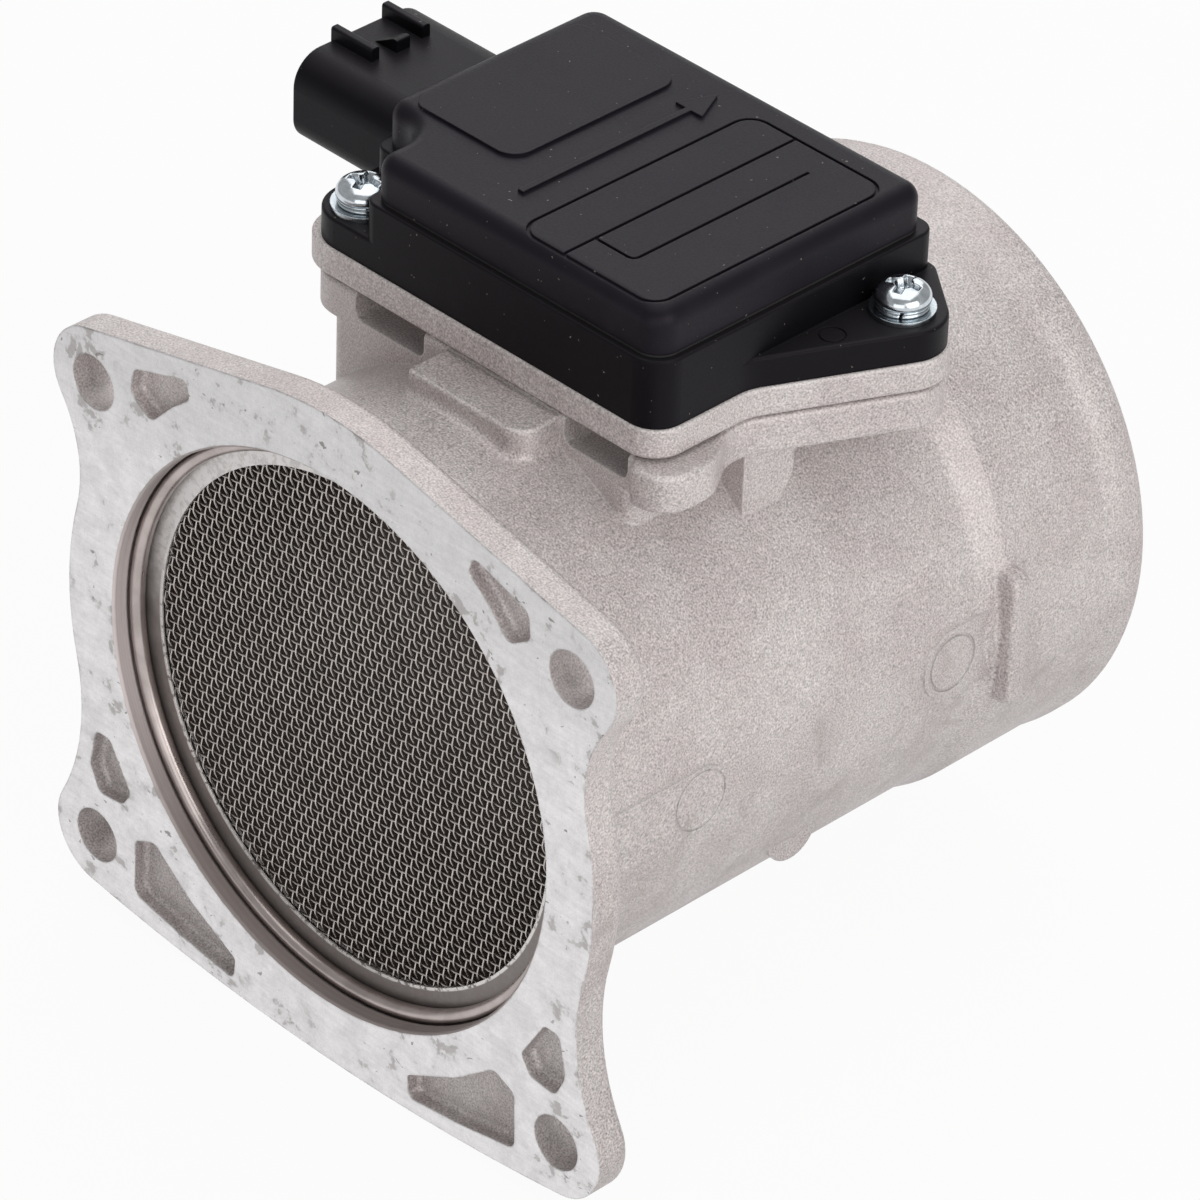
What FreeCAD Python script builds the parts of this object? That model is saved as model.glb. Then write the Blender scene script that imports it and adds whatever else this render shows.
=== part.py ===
import FreeCAD, Part
import math
import os
import Sketcher

# Mass air flow sensor: a cast duct with a bolted flange, a wire screen in its mouth and a sensor module on
# top.
# Row frame in millimetres: +Y is the way the air flows, +Z points to the module's lid, +X is to the right
# when looking along the flow. The origin is the centre of the four flange holes on the flange's front face,
# so the duct's own axis runs along Y at the height duct_lift above it. Every shape below is drawn about the
# duct's axis, and each body is then lifted by that value.

doc = FreeCAD.newDocument("mass_air_flow_sensor")
sheet = doc.addObject("Spreadsheet::Sheet", "sizes")

SIZES = [
    # the duct
    ("duct_len", 112.0, "flange face to outlet rim"),
    ("tube_r", 41.9, "outside radius behind the flange"),
    ("spigot_r", 43.1, "outside radius of the hose end"),
    ("step_start", 80.5, "where the tube begins to widen"),
    ("step_end", 85.5, "where the hose end begins"),
    ("bead_r", 43.65, "radius of the low bead that keeps the hose on"),
    ("bead_start", 104.5, "start of the bead's ramp"),
    ("bead_full", 107.8, "where the bead is at full radius"),
    ("bead_end", 110.6, "where the bead rounds down to the rim"),
    ("rim_r", 42.9, "radius at the outlet rim"),
    ("seat_ledge", 3.7, "width of the ledge that the screen frame rests on"),
    ("outlet_r", 39.3, "bore radius inside the hose end"),
    # the flange
    ("flange_thick", 5.7, "flange thickness"),
    ("hole_half_span", 45.35, "half of the holes' distance across"),
    ("hole_up", 34.33, "upper holes above the duct axis"),
    ("hole_down", 40.0, "lower holes below the duct axis"),
    ("hole_radius", 4.1, "flange hole radius"),
    ("ear_up_r", 8.0, "corner radius round an upper hole"),
    ("ear_down_r", 8.1, "corner radius round a lower hole"),
    ("flange_apex", 51.5, "duct axis to the top and to the bottom edge"),
    ("bulge_r", 50.6, "radius of the side bulges"),
    ("waist_up_r", 20.0, "radius of the upper waists"),
    ("waist_down_r", 35.0, "radius of the lower waists"),
    ("pocket_depth", 2.2, "depth of the six cast pockets"),
    ("pocket_round", 0.8, "rounding of the pockets' floors"),
    ("flange_round", 1.5, "rounding of the flange's rear edge"),
    ("root_round", 2.5, "rounding where flange meets tube"),
    ("tab_near", 83.6, "front of the tab that sets the hose's turn"),
    ("tab_thick", 3.2, "thickness of that tab"),
    ("tab_reach", 45.4, "outer face of that tab, from the duct axis"),
    ("tab_half", 10.5, "half of that tab's height"),
    # the seat of the screen
    ("seat_r", 41.7, "counterbore radius"),
    ("seat_depth", 6.1, "counterbore depth"),
    ("seat_bevel", 0.35, "bevel at the counterbore's mouth"),
    ("groove_deep", 0.75, "depth of the groove for the wire ring"),
    ("groove_near", 2.45, "front wall of the groove"),
    ("groove_far", 5.05, "rear wall of the groove"),
    ("ring_clear", 0.3, "space between the wire ring and its groove"),
    ("ring_wire_r", 1.15, "radius of the ring's wire"),
    ("ring_mid_y", 3.7, "depth of the ring's centre"),
    ("ring_angle", 352.0, "how far round the ring goes, in degrees"),
    ("frame_near", 4.9, "front face of the screen frame"),
    ("frame_sheet", 0.3, "sheet thickness of the screen frame"),
    ("frame_clear", 0.3, "space between the screen frame and the counterbore"),
    ("frame_lip", 4.05, "width of the screen frame's rim"),
    ("screen_clear", 0.1, "space round the screen inside its frame"),
    ("screen_web", 0.3, "thickness of the screen between its ridges"),
    ("screen_turn", 7.7, "turn of the weave in its frame, in degrees"),
    ("screen_pitch", 6.9, "distance of the stand-in gaps"),
    ("screen_gap", 5.7, "width of one stand-in gap"),
    # the platform for the module
    ("ped_top", 40.3, "underside of the platform"),
    ("deck_top", 44.9, "top of the platform"),
    ("gasket_thick", 0.4, "gasket under the base plate"),
    ("plate_thick", 4.5, "base plate thickness"),
    ("deck_front", 29.4, "front edge of platform and case"),
    ("deck_rear", 80.9, "rear edge of platform and case"),
    ("deck_right", 29.6, "right side of the module"),
    ("deck_left", -34.3, "left side of the module"),
    ("rear_corner_r", 2.6, "radius of the module's rear right corner"),
    ("deck_round", 0.8, "rounding of the platform's upper edge"),
    ("plate_lip", 0.4, "how far the base plate stands out all round"),
    ("plate_ear", 1.2, "how much further it stands out at the left ear"),
    ("screw_ax", -30.6, "front left screw, across"),
    ("screw_ay", 34.6, "front left screw, along"),
    ("screw_bx", 34.4, "rear right screw, across"),
    ("screw_by", 69.6, "rear right screw, along"),
    ("ear_r", 5.9, "corner radius round a module screw"),
    ("ear_left", -36.8, "outer side of the left ear"),
    ("ped_left", -31.5, "left wall of the pedestal"),
    ("ped_right", 25.4, "right wall of the pedestal"),
    ("lug_top", 44.6, "top of the lug in front of the platform"),
    ("lug_front", 22.2, "front of the lug"),
    ("slot_floor", 40.9, "floor of the two slots beside the lug"),
    ("slot_back", 34.4, "rear wall of the two slots"),
    ("slot_round", 1.4, "rounding at the slots' ends"),
    ("lug_round", 0.5, "rounding of the lug's upper edge"),
    ("lug_foot_round", 1.2, "hollow rounding where the lug meets the duct"),
    # the measuring channel
    ("strut_half", 8.5, "half width of the strut in the air stream"),
    ("strut_near", 38.0, "front of the strut"),
    ("strut_len", 34.0, "length of the strut"),
    ("channel_z", 23.0, "axis of the measuring channel"),
    ("channel_r", 5.6, "radius of the measuring channel"),
    ("holder_y", 55.0, "axis of the element holder, along the duct"),
    ("holder_r", 6.7, "radius of the element holder"),
    ("holder_gap", 0.3, "space round the element holder"),
    ("holder_low", 29.4, "lower end of the element holder"),
    ("holder_cap_r", 9.0, "radius of the holder's head"),
    ("holder_cap", 2.5, "height of the holder's head"),
    ("oring_z", 42.3, "height of the holder's seal ring"),
    ("oring_mid_r", 6.05, "seal ring, radius of the section's centre"),
    ("oring_wire_r", 0.85, "radius of the seal ring's section"),
    ("pin_r", 0.4, "support pin radius"),
    ("pin_x", 2.1, "support pins, distance from the middle"),
    ("pin_y", 2.4, "support pins, distance along the flow"),
    ("pin_low", 22.2, "lower end of the support pins"),
    ("pin_high", 51.4, "upper end of the support pins"),
    ("pin_flat", 0.25, "depth of the flat where an element is welded"),
    ("element_z", 23.0, "height of both elements"),
    ("bobbin_r", 0.35, "radius of an element's ceramic body"),
    ("hot_len", 1.9, "length of the heated body"),
    ("cold_len", 2.4, "length of the air temperature body"),
    ("lead_r", 0.09, "radius of an element's lead"),
    # the case
    ("case_foot", 4.5, "height of the case's foot with its two ears"),
    ("case_height", 10.3, "height of the case wall"),
    ("case_wall", 2.0, "case wall thickness"),
    ("notch_side", -25.4, "side of the notch beside the front left screw"),
    ("notch_end", 39.7, "end of that notch"),
    ("plug_face", -54.0, "mouth of the plug socket"),
    ("plug_mid", 55.1, "middle of the plug socket"),
    ("plug_wide", 24.0, "width of the plug socket"),
    ("plug_low", 50.0, "underside of the plug socket"),
    ("plug_high", 63.2, "upper side of the plug socket"),
    ("plug_round", 4.8, "corner radius of the plug socket"),
    ("plug_wall", 1.6, "wall of the plug socket"),
    ("plug_depth", 14.5, "depth of the plug socket"),
    ("key_tall", 2.0, "height of the two keys on the socket"),
    ("key_thick", 1.4, "thickness of the two keys"),
    ("key_len", 8.0, "length of the two keys"),
    ("key_space", 9.3, "distance between the two keys"),
    ("latch_rise", 1.9, "height of the latch ramp"),
    ("latch_wide", 2.4, "width of the latch ramp"),
    # the lid
    ("seam", 0.4, "sealant between case and lid"),
    ("lid_inset", 0.9, "lid set back from the case wall"),
    ("lid_rear_extra", 0.6, "how much further the lid is set back at its rear"),
    ("lid_corner_r", 2.8, "smallest corner radius of the lid's outline"),
    ("lid_height", 6.5, "lid height"),
    ("lid_wall", 2.0, "lid thickness"),
    ("lid_round", 2.4, "rounding of the lid's upper edge"),
    ("mark_depth", 0.35, "depth of the lid's lines and arrow"),
    ("mark_wide", 0.5, "width of the lid's lines"),
    ("panel_rise", 0.4, "height of the raised field and of the arrow"),
    # terminals
    ("blade_wide", 2.2, "terminal width"),
    ("blade_thick", 0.8, "terminal thickness"),
    ("blade_tip", -48.6, "tip of the terminals in the socket"),
    ("blade_bend", -25.6, "where the terminals turn down"),
    ("blade_z", 55.75, "underside of the terminals"),
    ("blade_pitch", 4.6, "distance between the terminals"),
    ("blade_gap", 0.03, "space round a terminal in its slot"),
    # electronics
    ("board_thick", 0.8, "ceramic board"),
    ("board_window", 9.8, "radius of the board's window"),
    # module screws
    ("thread_r", 2.0, "screw radius"),
    ("thread_gap", 0.05, "space round the screw's thread"),
    ("screw_gap", 0.3, "space round the screw in plate and case"),
    ("screw_len", 16.0, "screw length under the head"),
    ("head_r", 3.8, "screw head radius"),
    ("head_tall", 2.5, "screw head height"),
    ("head_round", 1.5, "rounding of the screw head"),
    ("recess_r", 2.3, "reach of the cross recess"),
    ("recess_wide", 0.9, "width of a wing of the recess"),
    ("recess_deep", 1.5, "depth of the cross recess"),
    ("spring_r", 3.6, "spring washer radius"),
    ("spring_thick", 1.0, "spring washer thickness"),
    ("flat_r", 4.5, "flat washer radius"),
    ("flat_thick", 0.8, "flat washer thickness"),
    ("washer_in_r", 2.3, "inside radius of both washers"),
    ("duct_lift", 2.835, "duct axis above the centre of the four holes"),
]

S = {}
for row, (name, value, note) in enumerate(SIZES, start=1):
    sheet.set("A%d" % row, name)
    sheet.set("B%d" % row, str(value))
    sheet.set("C%d" % row, note)
    sheet.setAlias("B%d" % row, name)
    S[name] = value
doc.recompute()

# radii of the screen's seat, its frame and its ring, which all follow from the counterbore
BORE_R = S["seat_r"] - S["seat_ledge"]
GROOVE_R = S["seat_r"] + S["groove_deep"]
RING_R = GROOVE_R - S["ring_clear"] - S["ring_wire_r"]
FRAME_OUT_R = S["seat_r"] - S["frame_clear"]
FRAME_IN_R = FRAME_OUT_R - S["frame_lip"]
SCREEN_R = FRAME_OUT_R - S["frame_sheet"] - S["screen_clear"]
SCREEN_R_X = "(sizes.seat_r - sizes.frame_clear - sizes.frame_sheet - sizes.screen_clear)"

# heights that follow from the values above
PLATE_LOW = S["deck_top"] + S["gasket_thick"]
PLATE_TOP = PLATE_LOW + S["plate_thick"]
EAR_TOP = PLATE_TOP + S["case_foot"]
WALL_TOP = PLATE_TOP + S["case_height"]
LID_LOW = WALL_TOP + S["seam"]
LID_TOP = LID_LOW + S["lid_height"]
PLATE_LOW_X = "(sizes.deck_top + sizes.gasket_thick)"
PLATE_TOP_X = "(sizes.deck_top + sizes.gasket_thick + sizes.plate_thick)"
EAR_TOP_X = "(%s + sizes.case_foot)" % PLATE_TOP_X
WALL_TOP_X = "(%s + sizes.case_height)" % PLATE_TOP_X
LID_LOW_X = "(%s + sizes.seam)" % WALL_TOP_X
LID_TOP_X = "(%s + sizes.lid_height)" % LID_LOW_X

V = FreeCAD.Vector
bodies = []


# Helpers for plane outlines. A path is a list of straight lines and arcs that closes on itself.
def rounded(corners):
    """Turns corners (x, y, radius) into lines and arcs, each corner rounded by its radius."""
    count = len(corners)
    ends = []
    arcs = []
    for i in range(count):
        x0, y0, _ = corners[i - 1]
        x1, y1, r = corners[i]
        x2, y2, _ = corners[(i + 1) % count]
        ax, ay = x0 - x1, y0 - y1
        bx, by = x2 - x1, y2 - y1
        la, lb = math.hypot(ax, ay), math.hypot(bx, by)
        ax, ay, bx, by = ax / la, ay / la, bx / lb, by / lb
        dot = max(-1.0, min(1.0, ax * bx + ay * by))
        half = math.acos(dot) / 2
        if r <= 0 or abs(half - math.pi / 2) < 1e-6:
            ends.append(((x1, y1), (x1, y1)))
            arcs.append(None)
            continue
        cut = r / math.tan(half)
        p = (x1 + ax * cut, y1 + ay * cut)
        q = (x1 + bx * cut, y1 + by * cut)
        mx, my = ax + bx, ay + by
        lm = math.hypot(mx, my)
        reach = r / math.sin(half)
        c = (x1 + mx / lm * reach, y1 + my / lm * reach)
        left = (-ax) * by - (-ay) * bx > 0
        ends.append((p, q))
        arcs.append((c, r, p, q, left))
    path = []
    for i in range(count):
        if arcs[i]:
            c, r, p, q, left = arcs[i]
            path.append(("arc", c, r, p, q, left))
        start = ends[i][1]
        stop = ends[(i + 1) % count][0]
        if math.hypot(start[0] - stop[0], start[1] - stop[1]) > 1e-6:
            path.append(("line", start, stop))
    return path


def draw(sketch, path):
    for piece in path:
        if piece[0] == "line":
            (x0, y0), (x1, y1) = piece[1], piece[2]
            sketch.addGeometry(Part.LineSegment(V(x0, y0, 0), V(x1, y1, 0)), False)
        else:
            c, r, p, q, left = piece[1:]
            a = math.atan2(p[1] - c[1], p[0] - c[0])
            b = math.atan2(q[1] - c[1], q[0] - c[0])
            if not left:
                a, b = b, a
            if b <= a:
                b += 2 * math.pi
            circle = Part.Circle(V(c[0], c[1], 0), V(0, 0, 1), r)
            sketch.addGeometry(Part.ArcOfCircle(circle, a, b), False)


def inset(corners, d):
    """Moves an outline that runs counter-clockwise inward by d and keeps its rounded corners parallel."""
    count = len(corners)
    lines = []
    for i in range(count):
        x0, y0, _ = corners[i]
        x1, y1, _ = corners[(i + 1) % count]
        length = math.hypot(x1 - x0, y1 - y0)
        nx, ny = -(y1 - y0) / length, (x1 - x0) / length
        lines.append((x0 + nx * d, y0 + ny * d, (x1 - x0) / length, (y1 - y0) / length))
    out = []
    for i in range(count):
        ax, ay, adx, ady = lines[i - 1]
        bx, by, bdx, bdy = lines[i]
        cross = adx * bdy - ady * bdx
        t = ((bx - ax) * bdy - (by - ay) * bdx) / cross
        r = corners[i][2]
        if r > 0:
            r = max(r - d, 0.3) if cross > 0 else r + d
        out.append((ax + adx * t, ay + ady * t, r))
    return out


def box_corners(x0, x1, y0, y1, r):
    return [(x0, y0, r), (x1, y0, r), (x1, y1, r), (x0, y1, r)]


# Helpers for bodies, sketches and features
def new_body(name):
    body = doc.addObject("PartDesign::Body", name)
    body.Label = name
    body.setExpression("Placement.Base.z", "sizes.duct_lift")
    bodies.append(body)
    return body


def new_sketch(body, name, role, offset=None):
    sketch = body.newObject("Sketcher::SketchObject", name)
    for origin in body.Origin.OriginFeatures:
        if origin.Role == role:
            sketch.AttachmentSupport = [(origin, "")]
    sketch.MapMode = "FlatFace"
    if offset:
        sketch.setExpression("AttachmentOffset.Base.z", offset)
    return sketch


def circle(sketch, x, y, radius, bound=None):
    """Adds a circle whose radius is bound to a size."""
    g = sketch.addGeometry(Part.Circle(V(x, y, 0), V(0, 0, 1), radius), False)
    if bound:
        c = sketch.addConstraint(Sketcher.Constraint("Radius", g, radius))
        sketch.setExpression("Constraints[%d]" % c, bound)
    return g


def pad(body, sketch, name, length, back=False):
    f = body.newObject("PartDesign::Pad", name)
    f.Profile = sketch
    f.setExpression("Length", length)
    f.Reversed = back
    sketch.Visibility = False
    body.Tip = f
    doc.recompute()
    return f


def pocket(body, sketch, name, length, back=False):
    before = body.Tip.Shape.Volume
    f = body.newObject("PartDesign::Pocket", name)
    f.Profile = sketch
    f.setExpression("Length", length)
    f.Reversed = back
    sketch.Visibility = False
    body.Tip = f
    doc.recompute()
    if f.Shape.Volume > before - 1e-4:
        raise RuntimeError("%s cut nothing" % name)
    return f


def turn(body, sketch, name, kind, angle=None):
    f = body.newObject("PartDesign::" + kind, name)
    f.Profile = sketch
    f.ReferenceAxis = (sketch, ["V_Axis"])
    f.Angle = 360.0
    if angle:
        f.setExpression("Angle", angle)
    sketch.Visibility = False
    body.Tip = f
    doc.recompute()
    return f


def soften(body, name, kind, size, picks):
    """Rounds or bevels the edges of the body's tip that picks accepts."""
    base = body.Tip
    names = []
    for i, edge in enumerate(base.Shape.Edges, start=1):
        if picks(edge):
            names.append("Edge%d" % i)
    if not names:
        raise RuntimeError("%s found no edge" % name)
    f = body.newObject("PartDesign::" + kind, name)
    f.Base = (base, names)
    f.setExpression("Radius" if kind == "Fillet" else "Size", size)
    body.Tip = f
    doc.recompute()
    return f


def ends_at(edge, axis, value, tol=1e-4):
    return all(abs(v.Point[axis] - value) < tol for v in edge.Vertexes)


# Outlines seen from above
def module_outline(ear_left):
    """The module's foot with its two ears; the left ear's outer side is given."""
    return [
        (S["deck_right"], S["deck_front"], 4.5),
        (S["deck_right"], 46.4, 8.0),
        (41.84, 71.74, S["ear_r"]),
        (S["deck_right"], S["deck_rear"], S["rear_corner_r"]),
        (S["deck_left"], S["deck_rear"], 4.0),
        (S["deck_left"], 50.5, 6.0),
        (ear_left, 45.0, 6.0),
        (ear_left, S["deck_front"], S["ear_r"]),
    ]


MODULE = module_outline(S["ear_left"])
PLATE = inset(module_outline(S["ear_left"] - S["plate_ear"]), -S["plate_lip"])
DECK = [
    (25.8, S["deck_front"], 0.8),
    (27.2, 27.6, 1.6),
    (33.4, 27.6, 5.0),
    (33.4, 36.8, 5.0),
    (S["deck_right"], 42.5, 6.0),
    (S["deck_right"], 46.4, 6.0),
] + MODULE[2:]
CASE = [
    (S["deck_right"], S["deck_front"], 4.5),
    (S["deck_right"], S["deck_rear"], S["rear_corner_r"]),
    (S["deck_left"], S["deck_rear"], 4.0),
    (S["deck_left"], S["notch_end"], 2.0),
    (S["notch_side"], S["notch_end"], 4.9),
    (S["notch_side"], S["deck_front"], 2.2),
]


def lid_outline(extra):
    """The case's outline set back by the lid's inset and a bit more, with rounder corners."""
    least = S["lid_corner_r"] - extra
    rear = S["deck_rear"] - S["lid_inset"] - extra - S["lid_rear_extra"]
    return [(x, min(y, rear), max(r, least)) for x, y, r in inset(CASE, S["lid_inset"] + extra)]


# The housing, one casting: flange, duct, platform, strut
def flange_path():
    """The flange's edge: circles that touch one another, with straight lines from top arc to ears."""

    def meet(c0, r0, c1, r1, pick):
        dx, dz = c1[0] - c0[0], c1[1] - c0[1]
        d = math.hypot(dx, dz)
        a = (r0 * r0 - r1 * r1 + d * d) / (2 * d)
        h = math.sqrt(r0 * r0 - a * a)
        p = (c0[0] + a * dx / d, c0[1] + a * dz / d)
        return (p[0] + pick * h * dz / d, p[1] - pick * h * dx / d)

    def toward(c, r, target):
        d = math.hypot(target[0] - c[0], target[1] - c[1])
        return (c[0] + (target[0] - c[0]) * r / d, c[1] + (target[1] - c[1]) * r / d)

    up = (S["hole_half_span"], S["hole_up"])
    down = (S["hole_half_span"], -S["hole_down"])
    mid = (0.0, 0.0)
    ear_up, ear_down = S["ear_up_r"], S["ear_down_r"]
    waist_up = meet(mid, S["bulge_r"] + S["waist_up_r"], up, ear_up + S["waist_up_r"], 1)
    waist_down = meet(mid, S["bulge_r"] + S["waist_down_r"], down, ear_down + S["waist_down_r"], -1)
    # the bottom arc touches both lower ears and has its lowest point at flange_apex
    a, b = S["hole_half_span"], S["flange_apex"] - S["hole_down"]
    low_r = (a * a + b * b - ear_down * ear_down) / (2 * (b - ear_down))
    low = (0.0, low_r - S["flange_apex"])
    right = []
    q0 = (0.0, -S["flange_apex"])
    d = math.hypot(down[0] - low[0], down[1] - low[1])
    t1 = (low[0] + (down[0] - low[0]) * low_r / d, low[1] + (down[1] - low[1]) * low_r / d)
    right.append(("arc", low, low_r, q0, t1, True))
    t2 = toward(down, ear_down, waist_down)
    right.append(("arc", down, ear_down, t1, t2, True))
    t3 = toward(mid, S["bulge_r"], waist_down)
    right.append(("arc", waist_down, S["waist_down_r"], t2, t3, False))
    t4 = toward(mid, S["bulge_r"], waist_up)
    right.append(("arc", mid, S["bulge_r"], t3, t4, True))
    t5 = toward(up, ear_up, waist_up)
    right.append(("arc", waist_up, S["waist_up_r"], t4, t5, False))
    # one straight line touches the ear and the top arc, which runs round the duct's own axis
    slope = math.atan2(up[1], up[0]) + math.acos((S["flange_apex"] - ear_up) / math.hypot(up[0], up[1]))
    nx, nz = math.cos(slope), math.sin(slope)
    t6 = (up[0] + nx * ear_up, up[1] + nz * ear_up)
    right.append(("arc", up, ear_up, t5, t6, True))
    t7 = (nx * S["flange_apex"], nz * S["flange_apex"])
    right.append(("line", t6, t7))
    q8 = (0.0, S["flange_apex"])
    right.append(("arc", mid, S["flange_apex"], t7, q8, True))
    left = []
    for piece in reversed(right):
        if piece[0] == "line":
            p, q = piece[1], piece[2]
            left.append(("line", (-q[0], q[1]), (-p[0], p[1])))
        else:
            c, r, p, q, turn_left = piece[1:]
            left.append(("arc", (-c[0], c[1]), r, (-q[0], q[1]), (-p[0], p[1]), turn_left))
    return right + left


housing = new_body("housing")
sk = new_sketch(housing, "flange_edge", "XZ_Plane")
draw(sk, flange_path())
pad(housing, sk, "flange_plate", "sizes.flange_thick", back=True)

sk = new_sketch(housing, "tube_outside", "XY_Plane")
tube = [
    (0, 1.0, 0),
    (S["tube_r"], 1.0, 0),
    (S["tube_r"], S["step_start"], 6),
    (S["spigot_r"], S["step_end"], 0.6),
    (S["spigot_r"], S["bead_start"], 12),
    (S["bead_r"], S["bead_full"], 8),
    (S["bead_r"], S["bead_end"], 1.0),
    (S["rim_r"], S["duct_len"], 0.3),
    (0, S["duct_len"], 0),
]
draw(sk, rounded(tube))
turn(housing, sk, "tube_solid", "Revolution")

sk = new_sketch(housing, "pedestal_outline", "XY_Plane", "24")
draw(sk, rounded(box_corners(S["ped_left"], S["ped_right"], S["deck_front"], S["deck_rear"] - 1.8, 2.5)))
pad(housing, sk, "pedestal", "sizes.ped_top - 24")

# a block on the pedestal's right side with a rounded lower end
sk = new_sketch(housing, "side_block_outline", "YZ_Plane", "sizes.ped_right - 6")
draw(sk, rounded([(46.4, 24.0, 0), (50.6, 24.0, 0), (55.8, 33.0, 5.0), (55.8, 41.0, 0), (46.4, 41.0, 0)]))
pad(housing, sk, "side_block", "10.1")

sk = new_sketch(housing, "deck_outline", "XY_Plane", "sizes.ped_top - 0.8")
draw(sk, rounded(DECK))
pad(housing, sk, "deck", "sizes.deck_top - sizes.ped_top + 0.8")
soften(housing, "deck_top_round", "Fillet", "sizes.deck_round", lambda e: ends_at(e, 2, S["deck_top"]))

LUG_LEFT, LUG_RIGHT = -9.0, 12.5
sk = new_sketch(housing, "lug_outline", "XY_Plane", "36.5")
draw(sk, rounded([(LUG_LEFT, S["lug_front"], 1.0), (LUG_RIGHT, S["lug_front"], 3.2), (LUG_RIGHT, 34.0, 0),
                  (LUG_LEFT, 34.0, 0)]))
pad(housing, sk, "lug", "sizes.lug_top - 36.5")
soften(housing, "lug_top_round", "Fillet", "sizes.lug_round",
       lambda e: ends_at(e, 2, S["lug_top"]) and e.CenterOfMass.y < S["deck_front"] - 0.2)
soften(housing, "lug_foot_round", "Fillet", "sizes.lug_foot_round",
       lambda e: 37 < e.CenterOfMass.z < S["lug_top"] - 0.8 and e.CenterOfMass.y < S["deck_front"] - 0.2
       and LUG_LEFT - 0.1 < e.CenterOfMass.x < LUG_RIGHT + 0.1
       and all(abs(math.hypot(v.Point.x, v.Point.z) - S["tube_r"]) < 0.01 for v in e.Vertexes))

# soft edges of the casting before the openings are cut
soften(housing, "flange_rear_round", "Fillet", "sizes.flange_round",
       lambda e: ends_at(e, 1, S["flange_thick"])
       and max(abs(e.CenterOfMass.x), abs(e.CenterOfMass.z)) > 44)
soften(housing, "flange_root_round", "Fillet", "sizes.root_round",
       lambda e: ends_at(e, 1, S["flange_thick"]) and abs(e.Length - 2 * math.pi * S["tube_r"]) < 1)

# a long pad and a low round mark that the casting tools left on the duct's right side
sk = new_sketch(housing, "near_pad_outline", "YZ_Plane", "36")
draw(sk, rounded([(3.0, -5.0, 0), (33.0, -5.0, 4.8), (33.0, 5.0, 4.8), (3.0, 5.0, 0)]))
pad(housing, sk, "near_pad", "5.97")
sk = new_sketch(housing, "low_mark_outline", "YZ_Plane", "28")
circle(sk, 52.0, -20.0, 4.6)
pad(housing, sk, "low_mark", "8.2")

# two slots in the platform's front, closed on top by the base plate
sk = new_sketch(housing, "slots_outline", "XY_Plane", "sizes.slot_floor")
for x0, x1 in ((-26.4, -13.2), (13.2, 25.0)):
    draw(sk, rounded(box_corners(x0, x1, 20, S["slot_back"], 0)))
pocket(housing, sk, "slots", "6", back=True)
soften(housing, "slot_ends", "Fillet", "sizes.slot_round",
       lambda e: ends_at(e, 2, S["slot_floor"]) and e.BoundBox.XLength < 1e-3
       and min(abs(e.CenterOfMass.x - x) for x in (-26.4, -13.2, 13.2, 25.0)) < 1e-3)

# the way of the air: bevel, counterbore, ring groove, bore, wider outlet
sk = new_sketch(housing, "bore_profile", "XY_Plane")
bore = [
    (0, -2, 0), (S["seat_r"] + S["seat_bevel"] + 2, -2, 0), (S["seat_r"] + S["seat_bevel"], 0, 0),
    (S["seat_r"], S["seat_bevel"], 0), (S["seat_r"], S["groove_near"], 0), (GROOVE_R, S["groove_near"], 0),
    (GROOVE_R, S["groove_far"], 0), (S["seat_r"], S["groove_far"], 0), (S["seat_r"], S["seat_depth"], 0),
    (BORE_R, S["seat_depth"], 0), (BORE_R, S["step_end"] + 0.5, 0), (S["outlet_r"], S["step_end"] + 4.5, 0),
    (S["outlet_r"], S["duct_len"] - 0.8, 0), (S["outlet_r"] + 0.8, S["duct_len"], 0),
    (S["outlet_r"] + 0.8, S["duct_len"] + 2, 0), (0, S["duct_len"] + 2, 0),
]
draw(sk, rounded(bore))
turn(housing, sk, "bore", "Groove")

# the strut with the measuring channel
sk = new_sketch(housing, "strut_outline", "XZ_Plane", "-sizes.strut_near")
w, cz = S["strut_half"], S["channel_z"]
draw(sk, [("line", (w, cz), (w, 39.6)), ("line", (w, 39.6), (-w, 39.6)), ("line", (-w, 39.6), (-w, cz)),
          ("arc", (0.0, cz), w, (-w, cz), (w, cz), True)])
pad(housing, sk, "strut", "sizes.strut_len", back=True)
soften(housing, "strut_ends", "Fillet", "1.2",
       lambda e: (ends_at(e, 1, S["strut_near"]) or ends_at(e, 1, S["strut_near"] + S["strut_len"]))
       and e.CenterOfMass.z < 35 and abs(e.CenterOfMass.x) < 9)
sk = new_sketch(housing, "channel_outline", "XZ_Plane", "-(sizes.strut_near - 1)")
circle(sk, 0, cz, S["channel_r"], "sizes.channel_r")
pocket(housing, sk, "channel", "sizes.strut_len + 2")
sk = new_sketch(housing, "holder_hole_outline", "XY_Plane", "sizes.holder_low - 2.8")
circle(sk, 0, S["holder_y"], S["holder_r"] + S["holder_gap"], "sizes.holder_r + sizes.holder_gap")
pocket(housing, sk, "holder_hole", "20", back=True)

# flange holes and module screw holes
sk = new_sketch(housing, "flange_holes_outline", "XZ_Plane")
for sx in (-1, 1):
    for z in (S["hole_up"], -S["hole_down"]):
        circle(sk, sx * S["hole_half_span"], z, S["hole_radius"], "sizes.hole_radius")
pocket(housing, sk, "flange_holes", "sizes.flange_thick + 4")
sk = new_sketch(housing, "module_holes_outline", "XY_Plane", "sizes.deck_top")
for x, y in ((S["screw_ax"], S["screw_ay"]), (S["screw_bx"], S["screw_by"])):
    circle(sk, x, y, S["thread_r"] + S["thread_gap"], "sizes.thread_r + sizes.thread_gap")
pocket(housing, sk, "module_holes", "5.6")

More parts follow.
